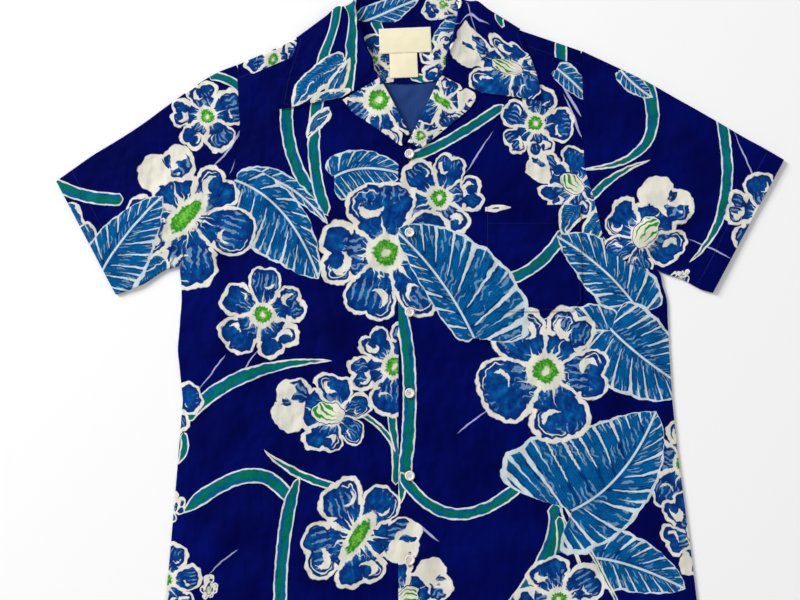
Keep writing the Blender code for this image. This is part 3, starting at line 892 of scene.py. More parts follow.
def petals(finish, p, q, seed, size, hooded, hand):
    """Five heart-shaped petals edged in cream, round a green heart or under a hood: (colour, cover).

    u and v are the place on the flower in shares of its radius, r and angle the same as a distance and a
    direction. lot and other_lot are each petal's own draws from -1 to 1. along and across are the place on
    a petal, and rim is how far inside its outline a point lies.
    """
    u = p + hand.sway_x / size
    v = q + hand.sway_y / size
    r = (u * u + v * v) ** 0.5
    long_heart = hooded * seed.rise(0.69, 0.7)
    hood = hooded - long_heart
    # A hooded flower's nearer petals look longer
    near = 1.0 / (1.0 - hood * (0.22 - u / r * 0.22))
    u, v, r = u * near, v * near, r * near
    angle = v.math("ARCTAN2", u)
    turn = angle * (1 / PETAL_TURN) + (angle + seed * 9.0).sin() * 0.15
    number = (turn + 0.5).floor()
    off = (turn - number) * PETAL_TURN
    lot = (number * (PETAL_TURN * 2) + seed * 23.0).sin()
    other_lot = (number * PETAL_TURN + seed * 41.0).sin()
    along = r * off.math("COSINE") / (1.0 + lot * (0.05 + hooded * 0.09))
    across = r * off.sin() * (other_lot.rise(-0.001, 0.001) * 2.0 - 1.0)
    split = 0.115 + other_lot * 0.045
    lobe = 0.4 - split - ((along - 0.64) ** 2.0 + (abs(across) - split) ** 2.0) ** 0.5
    rim = finish.math("SMOOTH_MAX", lobe, 0.57 - r, 0.07)
    # The cream edge, and the cream line between two petals
    ink = 2.5 + size * 0.03 + (angle * 2.0 + seed * 17.0).sin() * 0.9 + hand.slow[2] * 5.0
    inside = rim * size - ink
    border = (PETAL_TURN / 2 - abs(off)) * r * size
    blue_part = inside.rise(-0.3, 0.5) * (border + hand.fine[2] * 2.0).rise(1.9, 2.7)
    # Cream brush marks: a stroke along the petal, a crescent beside it, a trace inside the rim and spikes
    stroke_end = 0.43 + lot * 0.09
    stroke = (stroke_end - r) * size * 0.1 - abs(across + (r * 24.0 + seed * 9.0).sin() * 0.012) * size
    moon = 0.135 - ((along - 0.6) ** 2.0 + (across - 0.11) ** 2.0) ** 0.5
    shadow = 0.13 - ((along - 0.675 - lot * 0.02) ** 2.0 + (across - 0.055 - lot * 0.03) ** 2.0) ** 0.5
    moon = moon.least(0.0 - shadow) * size + hand.fine[0] * 2.6 - 0.5 + other_lot * 1.2
    trace = (0.8 - abs(inside - 4.2 - hand.slow[0] * 5.0)).rise(0.0, 0.4) * (size - 62.0).rise(0.0, 6.0)
    trace = trace * (across + lot * 0.1 - 0.08).rise(0.0, 0.04) * (along - 0.5).rise(0.0, 0.05)
    marks = stroke.rise(-0.2, 0.4).most(moon.rise(-0.2, 0.4)).most(trace)
    spoke = abs((angle * (17 / math.tau) + hand.slow[0] * 2.0).fraction() - 0.5) * r * 0.74
    spike = ((0.36 + (angle * 4.0 + seed * 31.0).sin() * 0.04 - r) * 0.2 - spoke) * size
    marks = marks.most(spike.rise(-0.1, 0.5))
    # Under a hood, the petals turned to the light are bare cream but for a lens of blue
    lens = 0.13 - ((along - 0.74) ** 2.0 + (across * 2.6 + 0.06) ** 2.0) ** 0.5 + hand.fine[1] * 0.03
    bare = (along - 0.54 + hand.slow[1] * 0.3 + across * 0.5).rise(0.0, 0.02) * (1.0 - lens.rise(-0.01, 0.01))
    marks = marks.most(bare * hooded * (lot - 0.6).rise(0.0, 0.001))
    blue_part = blue_part * (1.0 - marks)
    # Deep blue inside the edge, a lighter wash within, and pale dry brush marks along the petals
    tone = (inside + hand.fine[1] * 3.0).rise(0.5, 8.0)
    wash = (angle * 31.0 + hand.slow[0] * 9.0).sin() * 0.2 + hand.slow[2] * 1.5 + hand.fine[0] * 0.5
    blue = finish.blend("petal_deep", "petal", tone * (wash + 0.75).rise(0.2, 0.8))
    blue = finish.blend(blue, "petal_light", (wash - 0.05).rise(0.05, 0.5) * tone)
    brush = (across * 58.0 + lot * 5.0 + hand.slow[1] * 7.0).sin() + (along * 9.0 + lot * 9.0).sin() * 0.7
    brush = (brush + hand.fine[2] * 1.5 - 1.0).rise(0.0, 0.25) * (inside - 1.5).rise(0.0, 1.5)
    blue = finish.blend(blue, "pale", brush * 0.75)
    colour = finish.blend("cream", blue, blue_part)
    # The heart: a ragged green ring on cream, a long green patch, or green curls on the hood
    heart_v = v * (1.0 + long_heart * 1.5)
    heart = (u * u + heart_v * heart_v) ** 0.5 * (1.0 - long_heart * 0.42)
    ragged = heart + (hand.fine[1] * 3.0 + (angle * 17.0 + hand.slow[0] * 6.0).sin() * 0.7) / size
    colour = finish.blend(colour, "cream", (0.255 - heart - hand.fine[0] * 0.04).rise(-0.01, 0.01))
    green_part = (0.165 - ragged).rise(-0.01, 0.012) * (ragged - 0.05 + long_heart).rise(-0.01, 0.01)
    hood_part = (0.33 - ((u - 0.05) ** 2.0 + v * v * 2.6) ** 0.5) * size
    colour = finish.blend(colour, "petal_deep", (1.2 - abs(hood_part)).rise(0.0, 0.6) * hood)
    colour = finish.blend(colour, "cream", hood_part.rise(0.8, 1.4) * hood)
    curl = ((v * 1.5 + u * u * 2.2) * 38.0 + hand.slow[0] * 5.0).sin() + (u - 0.05) * 3.0
    curl = curl.rise(0.45, 0.9) * hood_part.rise(2.0, 2.6) * (u + 0.12).rise(0.0, 0.05)
    green_part = green_part * (1.0 - hood) + curl * hood
    green = finish.blend("green", "lime", (hand.fine[0] * 2.0 + (0.12 - heart) * 5.0).rise(-0.1, 0.6))
    colour = finish.blend(colour, green, green_part)
    return colour, rim.rise(0.0, 0.012)


def leaf_blade(finish, p, q, seed, size, lone, hand):
    """A veined leaf with a pale edge, or a lone petal where lone is 1: (colour, cover).

    away is the distance from the midrib in mm and far the same in shares of the width there. vein counts the
    veins along it, and lot is each one's own draw from -1 to 1.
    """
    away = abs(q) * 10.0
    far = away / size.most(1.0)
    vein = p + hand.sway_x * 0.016
    number = vein.floor()
    lot = (number * 2.4 + seed * 37.0).sin()
    side = q.rise(-0.001, 0.001)
    to_vein = abs(vein.fraction() - 0.5)
    scallop = (0.5 - to_vein) * (0.09 + lot * 0.04) * (1.0 - lone)
    edge = size * (1.03 - scallop) - away + hand.sway_y * 0.5
    wedge = 0.035 + far * (0.085 + lot * 0.03) + hand.fine[2] * 0.03
    first = (far - 0.12 - abs(lot) * 0.25 * side).rise(0.0, 0.04)
    veins = (wedge - to_vein).rise(0.0, 0.03) * first
    short = abs((vein + 0.5).fraction() - 0.5 + lot * 0.05)
    short = (far * 0.16 - 0.085 + lot * 0.04 - short).rise(0.0, 0.03)
    veins = veins.most(short * (size - 26.0).rise(0.0, 6.0))
    rib = (1.25 - away).rise(-0.3, 0.3)
    bold = (size - 22.0).rise(0.0, 26.0) + lone * 0.7
    trim = (1.7 + bold * 2.9 + hand.slow[0] * 5.0 + lot * 0.4 - edge).rise(-0.3, 0.3)
    streaks = (vein * 46.0 + hand.slow[1] * 9.0).sin() * 0.3 + hand.fine[1] * 1.1 + hand.slow[2]
    blue = finish.blend("leaf", "leaf_deep", (streaks + 0.3 - far * 0.2).rise(0.0, 0.9) * 0.85)
    beside = (wedge + 0.1 - to_vein).rise(0.0, 0.07) * (0.75 + hand.slow[0] * 2.0)
    blue = finish.blend(blue, "ground", beside.rise(0.0, 1.0) * 0.7 * (1.0 - lone))
    shine = (0.9 - abs(q * 10.0 - 1.6 + hand.slow[1] * 9.0)).rise(0.0, 0.5)
    shine = shine * (hand.slow[0] + 0.1).rise(0.0, 0.05)
    brush = (vein * 17.0 + lot * 3.0 + hand.slow[2] * 9.0).sin() + (far * 11.0 + lot * 7.0).sin() * 0.8
    brush = (brush + hand.fine[0] * 1.5 - 1.1).rise(0.0, 0.25) * (edge - 3.0).rise(0.0, 2.0)
    blue = finish.blend(blue, "pale", brush * 0.7)
    lines = veins.most(rib) * (1.0 - lone) + shine * lone
    colour = finish.blend(blue, finish.blend("vein", "cream", lone), lines.most(trim))
    return colour, edge.rise(0.0, 0.5) * size.rise(0.2, 1.2)


def grass(finish, p, q, seed, size, hand):
    """A blue-green grass blade with a green core and a pale edge: (colour, cover)."""
    away = q * 10.0 + hand.sway_x * 0.28
    edge = size - abs(away)
    centre = away / size.most(1.0) + (p * 5.0 + seed * 6.0).sin() * 0.22 + hand.slow[0] * 0.9
    core = (0.36 - abs(centre)).rise(-0.1, 0.1)
    body = finish.blend("teal", "teal_core", core)
    body = finish.blend(body, "petal_deep", (hand.fine[1] + hand.slow[2]).rise(0.1, 0.4) * 0.5)
    trim = (2.0 + hand.slow[1] * 2.4 - edge).rise(-0.2, 0.4)
    return finish.blend(body, "cream", trim), edge.rise(0.0, 0.3)


def motif_layer(finish, name, size, hand):
    """One layer of the print: (colour, cover)."""
    p, q, code = finish.stored(name)
    kind = code.floor()
    seed = code - kind
    hooded = kind.rise(0.4, 0.6)
    flower_colour, flower_cover = petals(finish, p, q, seed, size, hooded, hand)
    is_leaf, is_petal, is_blade, is_stem = (
        kind.rise(motif.kind - 0.6, motif.kind - 0.4) for motif in (Leaf, Petal, Blade, Stem))
    leaf_colour, leaf_cover = leaf_blade(finish, p, q, seed, size, is_petal, hand)
    grass_colour, grass_cover = grass(finish, p, q, seed, size, hand)
    colour = finish.blend(flower_colour, leaf_colour, is_leaf)
    colour = finish.blend(colour, finish.blend(grass_colour, "stem", is_stem), is_blade)
    cover = flower_cover + (leaf_cover - flower_cover) * is_leaf
    cover = cover + (grass_cover - cover) * is_blade
    return colour, cover * kind.rise(-0.6, -0.4)


THREADS = 1900.0


def weave(finish, where):
    """Plain weave, with the small wrinkles of worn cloth under it: the weave's height from -1 to 1."""
    u, v, _ = finish.parts(where)
    height = (u * (math.tau * THREADS)).sin() * (v * (math.tau * THREADS)).sin()
    broad = finish.noise(where, 24.0, 2.0)
    fine = finish.noise(finish.vector_math("MULTIPLY", where, (1.0, 0.35, 1.0)), 75.0, 2.0)
    finish.bump(height * 0.06 + broad[0] * 9.0 + fine[1] * 1.8, MM, 0.8)
    return height


def cloth_finish(name, printed):
    """Soft matt cotton: its right side with the print, or its wrong side in plain paler blue."""
    finish = Finish(name, 0.82)
    finish.shader.inputs["Sheen Weight"].default_value = 0.01
    finish.shader.inputs["Specular IOR Level"].default_value = 0.025
    where = finish.node("ShaderNodeUVMap", {"uv_map": "cloth"})
    height = weave(finish, where)
    slow = finish.noise(where, 14.0, 3.0)
    if printed:
        hand = Hand(finish, where)
        colour = finish.blend("ground", "ground_deep", (slow[0] * 2.0 + 0.5).rise(0.0, 1.0))
        for layer, size in reversed(list(zip(LAYERS, finish.stored("motif_sizes")))):
            drawn, cover = motif_layer(finish, layer, size, hand)
            colour = finish.blend(colour, drawn, cover)
    else:
        colour = finish.blend("wrong_side", "ground", (slow[0] * 1.4 + 0.16).rise(0.0, 1.0) * 0.5)
    # Painted shade and painted highlight of the weave: the colour is darker where the weave dips and lighter
    # where it rises, by the same height that drives its bump
    weave_shading = finish.node("ShaderNodeCombineXYZ", None, {k: 1.0 + height * 0.06 for k in range(3)})
    return finish.coloured(finish.vector_math("MULTIPLY", colour, weave_shading))


def label_finish():
    """Woven label tape with fine ribs."""
    finish = Finish("label_weave", 0.6)
    finish.shader.inputs["Sheen Weight"].default_value = 0.15
    where = finish.node("ShaderNodeUVMap", {"uv_map": "cloth"})
    u, v, _ = finish.parts(where)
    ribs = (v * (math.tau * 1500.0) + (u * (math.tau * 700.0)).sin() * 0.8).sin()
    finish.bump(ribs, 0.00012, 0.7)
    slow = finish.noise(where, 90.0, 3.0)
    yellowed = (slow[0] + ribs * 0.08 + 0.15).rise(0.0, 1.0) * 0.3
    return finish.coloured(finish.blend("label", (0.62, 0.53, 0.36, 1.0), yellowed))


def pearl_finish():
    """Pearly button plastic: cloudy layers under a clear coat."""
    finish = Finish("button_pearl", 0.28)
    finish.shader.inputs["Coat Weight"].default_value = 0.5
    finish.shader.inputs["Coat Roughness"].default_value = 0.12
    where = finish.node("ShaderNodeTexCoord", output="Object")
    inputs = {"Vector": where, "Scale": 260.0, "Detail": 3.0, "Distortion": 1.4}
    cloud = finish.node("ShaderNodeTexNoise", None, inputs)
    colour = finish.blend("pearl", (0.86, 0.82, 0.78, 1.0), cloud.rise(0.4, 0.62))
    shade = (0.42 - cloud).rise(0.0, 0.12) * 0.6
    return finish.coloured(finish.blend(colour, (0.42, 0.36, 0.36, 1.0), shade))


def thread_finish(name, colour):
    """Sewing thread with a twist."""
    finish = Finish(name, 0.55)
    where = finish.node("ShaderNodeTexCoord", output="Object")
    x, y, _ = finish.parts(where)
    twist = ((x + y * 1.3) * 9000.0).sin()
    darker = (*(c * 0.6 for c in colour[:3]), 1.0)
    return finish.coloured(finish.blend(colour, darker, twist.rise(-0.2, 0.9) * 0.6))


# Cloth pieces

def shown(name, mesh, *finishes):
    """An object of the scene, from its mesh."""
    for finish in finishes:
        mesh.materials.append(finish)
    mesh.shade_smooth()
    made = bpy.data.objects.new(name, mesh)
    bpy.context.scene.collection.objects.link(made)
    return made


def cloth_piece(name, node, grid, motifs, finishes, looks_up, closed=False, keep=None, wall=WALL):
    """A piece of cloth from a grid of points: x, y, z and the place on the flat cloth, in millimetres.

    looks_up is a row and column whose right side faces up, or down where the third value is -1. closed joins
    the grid's first and last columns, and keep(row, column) says which points stay.
    """
    rows, columns = grid.shape[:2]
    bm = bmesh.new()
    bmesh.ops.create_grid(bm, x_segments=columns - 1, y_segments=rows - 1, size=1.0)
    row_of = bm.verts.layers.int.new("row")
    column_of = bm.verts.layers.int.new("column")
    dropped = []
    for vert in bm.verts:
        column = round((vert.co.x + 1) / 2 * (columns - 1))
        row = round((vert.co.y + 1) / 2 * (rows - 1))
        vert[row_of], vert[column_of] = row, column
        vert.co = grid[row, column, :3] * MM
        if keep and not keep(row, column):
            dropped.append(vert)
    if dropped:
        bmesh.ops.delete(bm, geom=dropped, context="VERTS")
    if closed:
        bmesh.ops.remove_doubles(bm, verts=bm.verts, dist=1e-6)
    row, column, way = looks_up
    right, up = grid[row, column + 1] - grid[row, column], grid[row + 1, column] - grid[row, column]
    if (right[0] * up[1] - right[1] * up[0]) * way < 0:
        bmesh.ops.reverse_faces(bm, faces=bm.faces)
    mesh = bpy.data.meshes.new(name)
    bm.to_mesh(mesh)
    bm.free()
    corners = flat_corners(mesh, grid)
    mesh.uv_layers.new(name="cloth").uv.foreach_set("vector", (corners * MM).ravel())
    layers, sizes = lay_print(corners, motifs)
    for attribute, values in zip((*LAYERS, "motif_sizes"), (*layers, sizes)):
        stored = mesh.attributes.new(attribute, "FLOAT_VECTOR", "CORNER")
        stored.data.foreach_set("vector", values.ravel())
    made = shown(name, mesh, *finishes)
    solid = made.modifiers.new("wall", "SOLIDIFY")
    solid.thickness = wall * MM
    solid.offset = 0.0
    solid.material_offset = len(finishes) - 1
    fold = made.modifiers.new("turned edge", "BEVEL")
    fold.width = wall * 0.32 * MM
    fold.segments = 2
    fold.limit_method = "ANGLE"
    fold.angle_limit = math.radians(60)
    return settle(made, node)


def flat_corners(mesh, grid):
    """The place on the flat cloth of each face's corners, as faces x 4 x 2."""
    corner = np.empty(len(mesh.loops), np.int32)
    mesh.loops.foreach_get("vertex_index", corner)
    found = []
    for name in ("row", "column"):
        values = np.empty(len(mesh.vertices), np.int32)
        mesh.attributes[name].data.foreach_get("value", values)
        found.append(values[corner].reshape(-1, 4))
        mesh.attributes.remove(mesh.attributes[name])
    rows, columns = found
    wraps = columns.max(1) - columns.min(1) > 1
    columns[wraps] = np.where(columns[wraps] == 0, grid.shape[1] - 1, columns[wraps])
    return grid[rows, columns, 3:]


def settle(piece, *nodes, slot="print_cloth"):
    """The piece rides on the shirt's one body, in place of the solids that it is made for."""
    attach(piece, "root")
    if nodes:
        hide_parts(*nodes)
    return piece


def with_plan(grid, z):
    """A grid of plan points with its heights, on cloth that lies as the plan does."""
    return np.concatenate([grid[..., :2], z[..., None], grid[..., :2]], axis=2)


def back_grid():
    """The back, from one side seam and armhole to the other."""
    left, right = side_edge(-1), side_edge(1)
    columns = 20
    coarse = [[mix(a, b, k / columns) for k in range(columns + 1)] for a, b in zip(left, right)]
    plan = finer(finer(coarse, [16] + [6] * (len(coarse) - 2), 0), 8, 1)
    x, y = plan[..., 0], plan[..., 1]
    return with_plan(plan, back_z(x, y) - hem_z(y - HEM_Y, x) * 0.2)


def forward_end(side):
    """Where the yoke's seam with a front meets the armhole."""
    return neck(side * (YOKE_END_X + 0.4), shoulder_y(YOKE_END_X) - YOKE_WRAP)


def front_grid(side):
    """A front, from its inner edge to its side seam and armhole."""
    outer = side_edge(side) + [forward_end(side)]
    inner = [neck(side * x, y) for x, y in stepped(FRONT_INNER, FRONT_NECK_END)]
    by_placket, wide = (0, 0.045, 0.097, 0.155), 15
    start = by_placket[-1]
    shares = by_placket + tuple(start + (1 - start) * k / wide for k in range(1, wide + 1))
    coarse = [[mix(a, b, share) for share in shares] for a, b in zip(inner, outer)]
    plan = finer(finer(coarse, [18, 12] + [8] * (len(coarse) - 3), 0), 6, 1)
    x, y = plan[..., 0], plan[..., 1]
    z = panel_z(side, x, y) + hem_z(y - HEM_Y, x)
    # The side seam holds its edge down on the back's, from the hem to the armpit
    armpit_y = (RIGHT_EDGE if side > 0 else LEFT_EDGE)[ARMPIT_ROW][1]
    from_seam = np.linalg.norm(plan - plan[:, -1:], axis=2)
    held = (1 - smooth(from_seam / SIDE_HOLD)) * smooth((armpit_y - y) / ARMPIT_FADE)
    sewn_z = back_z(x, y) + WALL + 0.05
    return with_plan(plan, z + (sewn_z - z) * held)


def facing_grid(side, roll, edge):
    """A lapel: it drops over the front's inner edge at the roll line and lies back on the front."""
    outer = stepped(edge[:-1], edge[-1][:2])
    count = len(outer) - 1
    run = math.dist(*roll)
    normal = ((roll[1][1] - roll[0][1]) / run, -(roll[1][0] - roll[0][0]) / run)
    # Round the roll line: how far past it, and how high over the front
    profile = ((0.6, -0.6), (0.6, 0.4), (1.0, 1.4), (1.9, LAPEL_OVER_FRONT))
    flat_steps = 5
    coarse = []
    for k, far in enumerate(outer):
        near = mix(roll[0], roll[1], k / count)
        reach = math.dist(near, far)
        away = ((far[0] - near[0]) / reach, (far[1] - near[1]) / reach)
        lean = away[0] * normal[0] + away[1] * normal[1]
        points = [(offset / lean, height) for offset, height in profile]
        last = points[-1][0]
        for j in range(1, flat_steps + 1):
            points.append((last + (reach - last) * j / flat_steps, LAPEL_OVER_FRONT))
        row = []
        for distance, height in points:
            x, y = neck(side * (near[0] + away[0] * distance), near[1] + away[1] * distance)
            row.append((x, y, height))
        coarse.append(row)
    fine = finer(finer(coarse, 6, 0), [2, 2, 2] + [6] * flat_steps, 1)
    x, y, height = fine[..., 0], fine[..., 1], fine[..., 2]
    return with_plan(fine, panel_z(side, x, y) + height)


def back_neck_y(across):
    """The back neck seam at a distance from the centre line."""
    return float(np.interp(abs(across), *zip(*BACK_NECK)))


# The yoke's coarse rows on the back and round the fold, the fine steps between them on the back and across,
# and the coarse columns at both ends of the neck opening
LOWER_STEPS = 4
ARC_STEPS = 6
YOKE_FINE = 6
YOKE_OPEN = (5, 17)


def yoke_columns():
    """Distances from the centre line, closer together at the neck."""
    shoulder = [NECK_X + (YOKE_END_X - NECK_X) * k / 5 for k in range(6)]
    half = [0, 15, 30, 40, 50, 60] + shoulder
    return [-x for x in reversed(half[1:])] + half


def yoke_grid():
    """The outer yoke: flat over the back, folded over the shoulders to its seam with the fronts."""
    columns = []
    for across in yoke_columns():
        folded = abs(across) >= NECK_X
        axis_y = shoulder_y(across) - SHOULDER_ROUND
        top = axis_y if folded else back_neck_y(across)
        low = YOKE_SEAM_Y + SEAM_GAP
        x, y = neck(across, axis_y)
        low_z, high_z = back_z(x, y), front_z(x, y)
        middle, radius = (low_z + high_z) / 2, (high_z - low_z) / 2
        column = []
        for k in range(LOWER_STEPS + 1):
            px, py = neck(across, low + (top - low) * k / LOWER_STEPS)
            column.append((px, py, back_z(px, py), px, 2 * y - py + math.pi * radius))
        for k in range(1, ARC_STEPS + 1):
            turn = math.pi * k / ARC_STEPS
            px, py = neck(across, axis_y + radius * math.sin(turn) * math.hypot(1, SHOULDER_SLOPE))
            column.append((px, py, middle - radius * math.cos(turn), px, y + (math.pi - turn) * radius))
        forward = shoulder_y(across) - YOKE_WRAP + SEAM_GAP + 0.05
        for k in (1, 2):
            px, py = neck(across, axis_y + (forward - axis_y) * k / 2)
            column.append((px, py, front_z(px, py), px, py))
        columns.append(column)
    coarse = np.array(columns).transpose(1, 0, 2)
    return finer(finer(coarse, [YOKE_FINE] * LOWER_STEPS + [2] * ARC_STEPS + [4, 4], 0), YOKE_FINE, 1)


def inner_yoke_grid():
    """The inner yoke, where it shows inside the neck."""
    coarse = []
    for k in range(5):
        row = []
        for across in (-62, -50, -40, -30, -15, 0, 15, 30, 40, 50, 62):
            low = 271 + 5 * smooth(abs(across) / 60)
            row.append(neck(across, low + (back_neck_y(across) - low) * k / 4))
        coarse.append(row)
    plan = finer(finer(coarse, 6, 0), 5, 1)
    return with_plan(plan, back_z(plan[..., 0], plan[..., 1]) + LAYER)


def label_grid(spec):
    """A label on the inner yoke, a little crowned and with one corner up."""
    z = BACK_MID + COLLAR_LIFT + LAYER + WALL / 2 + 0.3 + LABEL_WALL / 2
    across, up = np.linspace(-0.5, 0.5, 25), np.linspace(-0.5, 0.5, 15)
    x, y = spec["x"] + across * spec["width"], spec["y"] + up * spec["height"]
    plan = np.array([[neck(i, j) for i in x] for j in y])
    crown = 0.6 * np.outer(1 - (2 * up) ** 2, 1 - (2 * across) ** 2) + 0.2 * np.outer(up + 0.5, across + 0.5)
    return with_plan(plan, z + crown)


def pocket_grid():
    """The pocket from its top hem down to its bottom edge, whose corners are cut off."""
    steps = 6
    coarse = []
    for k in range(steps + 2):
        y, inset = POCKET["bottom"], POCKET["corner"]
        if k <= steps:
            y = POCKET["top"] + (POCKET["bottom"] + POCKET["corner"] - POCKET["top"]) * k / steps
            inset = 0.0
        left, right = POCKET["left"] + inset, POCKET["right"] - inset
        coarse.append([(left + (right - left) * j / 7, y) for j in range(8)])
    plan = []
    for a, b in zip(coarse, coarse[1:]):
        plan += [[mix(p, q, t / 6) for p, q in zip(a, b)] for t in range(6)]
    plan = finer(plan + [coarse[-1]], 6, 1)
    x, y = plan[..., 0], plan[..., 1]
    return with_plan(plan, front_z(x, y) + LAYER - 0.2 + hem_z(POCKET["top"] - y, x))


def outward(path, inside):
    """The unit directions that lead away from a path's inner side."""
    run = np.gradient(path, axis=0)
    normal = np.stack([-run[:, 1], run[:, 0]], 1) / np.linalg.norm(run, axis=1)[:, None]
    return np.where(((np.array(inside) - path) * normal).sum(1) > 0, -1, 1)[:, None] * normal


def fold_points(path, inside):
    """Points round a fold from the upper layer to the lower, with their distance round it."""
    x, y = path[:, 0], path[:, 1]
    high, low = front_z(x, y), back_z(x, y)
    middle, radius = (high + low) / 2, (high - low) / 2
    way = outward(path, inside)
    made = []
    for degrees in range(15, 180, 15):
        turn = math.radians(degrees)
        place = path + way * (radius * math.sin(turn))[:, None]
        cloth = path + way * (radius * turn)[:, None]
        made.append(np.column_stack([place, middle + radius * math.cos(turn), cloth]))
    return made


def sleeve_grid(side):
    """A flattened tube from the armhole to the cuff, folded along its top and seamed along its underarm."""
    top_table = RIGHT_SLEEVE_TOP if side > 0 else LEFT_SLEEVE_TOP
    under = RIGHT_UNDERARM if side > 0 else LEFT_UNDERARM
    inside = ((320, 130) if side > 0 else (-330, 130))
    tip = neck(side * SHOULDER_TIP[0], SHOULDER_TIP[1])

    def fold_depth(x, y):
        return float(front_z(x, y) - ridges(FOLDS, x, y) - back_z(x, y)) / 2 + 0.6

    edge = side_edge(side)[sum(row[2] for row in (RIGHT_EDGE if side > 0 else LEFT_EDGE)[:ARMPIT_ROW]):]
    axis_tip = neck(side * (YOKE_END_X + 0.8), shoulder_y(YOKE_END_X) - SHOULDER_ROUND)
    around = [axis_tip, forward_end(side), *reversed(edge)]
    armhole = moved_in(around, lambda x, y: SEAM_GAP + 0.1, inside)
    top_fold = moved_in([tip] + list(top_table), fold_depth, inside)
    under_fold = moved_in(list(under), fold_depth, inside)
    top_fold[0] = armhole[0]
    armhole[-1] = under_fold[0]
    top_path, under_path = even(top_fold, SLEEVE_ROWS), even(under_fold, SLEEVE_ROWS)
    lengths = [0.0]
    for a, b in zip(armhole, armhole[1:]):
        lengths.append(lengths[-1] + math.dist(a, b))
    shares = [length / lengths[-1] for length in lengths]
    coarse = []
    for k in range(SLEEVE_ROWS + 1):
        s = k / SLEEVE_ROWS
        row = []
        for j, w in enumerate(shares):
            ruled = mix(top_path[k], under_path[k], w)
            across = mix(armhole[j], mix(top_path[-1], under_path[-1], w), s)
            corners = mix(mix(top_path[0], under_path[0], w), mix(top_path[-1], under_path[-1], w), s)
            row.append([a + b - c for a, b, c in zip(ruled, across, corners)])
        coarse.append(row)
    flat = finer(finer(coarse, [7] * (SLEEVE_ROWS - 2) + [12, 18], 0), 7, 1)
    x, y = flat[..., 0], flat[..., 1]
    to_cuff = np.linalg.norm(flat - flat[-1:], axis=2)
    hem = hem_z(to_cuff, x + y)
    top_layer = with_plan(flat, front_z(x, y) + hem)
    low_layer = with_plan(flat, back_z(x, y) - hem * 0.2)
    # The lower layer's cloth carries on past the fold along the top, after a strip of 9 mm round it
    start, end = flat[0, 0], flat[-1, 0]
    way = (end - start) / np.linalg.norm(end - start)
    normal = np.array([-way[1], way[0]])
    depth = ((low_layer[..., 3:] - start) * normal).sum(2)
    low_layer[..., 3:] -= (2 * depth - np.sign(depth.mean()) * -9.0)[..., None] * normal
    top_arc = [points[:, None] for points in fold_points(flat[:, 0], inside)]
    under_arc = [points[:, None] for points in fold_points(flat[:, -1], inside)]
    seam = low_layer[:, -1:].copy()
    seam[..., 3:] = under_arc[-1][..., 3:] + (under_arc[-1] - under_arc[-2])[..., 3:]
    return np.concatenate([low_layer[:, ::-1], *reversed(top_arc), top_layer, *under_arc, seam], axis=1)


def collar_rest(point):
    """The height of the collar where it lies on a front."""
    x, y = neck(point.x, point.y)
    return float(front_z(x, y)) + COLLAR_OVER_FRONT


def collar_section(ridge_row, edge_row):
    """Points of the collar from its neck seam up to the ridge and down to its outer edge, before the turn."""
    sx, sy, sz, rx, ry, rz, face, lean = ridge_row
    ex, ey, wrap = edge_row
    face, lean = math.radians(face), math.radians(lean)
    out = Vector((math.cos(face), math.sin(face), 0))
    tip = out * math.sin(lean) + Vector((0, 0, math.cos(lean)))
    inner = -out * math.cos(lean) + Vector((0, 0, math.sin(lean)))
    seam, ridge = Vector((sx, sy, sz)), Vector((rx, ry, rz))
    core = ridge - tip * RIDGE_RADIUS
    stand_top = core + inner * RIDGE_RADIUS
    fall_top = core - inner * RIDGE_RADIUS
    half = math.sqrt(0.5) * RIDGE_RADIUS
    points = [seam, seam.lerp(stand_top, 0.5), stand_top, core + (inner + tip) * half, ridge,
              core + (tip - inner) * half, fall_top]
    if wrap is None or ex != WRAP_END[0]:
        edge = Vector((ex, ey, BACK_MID if wrap == -90 else 0))
        if wrap is None:
            edge.z = collar_rest(edge)
        reach = (edge - fall_top).length
        drop = min(0.35 * reach, 0.6 * (fall_top.z - edge.z) / max(math.cos(lean), 0.05))
        if wrap == -90:
            drop = 0.35 * reach
        a = fall_top - tip * drop
        b = edge + Vector((fall_top.x - edge.x, fall_top.y - edge.y, 0)) * 0.35
        for t in (0.2, 0.45, 0.72, 1.0):
            u = 1 - t
            p = fall_top * u ** 3 + a * 3 * u * u * t + b * 3 * u * t * t + edge * t ** 3
            p.z = max(p.z, collar_rest(p) if wrap is None else BACK_MID)
            points.append(p)
    else:
        turn = math.radians(wrap)
        run = Vector((WRAP_END[0] - WRAP_START[0], WRAP_END[1] - WRAP_START[1], 0)).normalized()
        away = Vector((-run.y, run.x, 0))
        for t in (0.12, 0.4, 0.7, 1.0):
            x, y, z, radius = mix(WRAP_START, WRAP_END, t)
            over = Vector((0, 0, radius * math.sin(turn)))
            points.append(Vector((x, y, z)) + away * radius * math.cos(turn) + over)
    return points, unrolled(points, ridge, out)


def unrolled(points, ridge, out):
    """The section's points laid out flat on the cloth, from the ridge outwards in the plan."""
    lengths = [0.0]
    for a, b in zip(points, points[1:]):
        lengths.append(lengths[-1] + (b - a).length)
    return [ridge + out * (length - lengths[RIDGE_POINT]) for length in lengths]


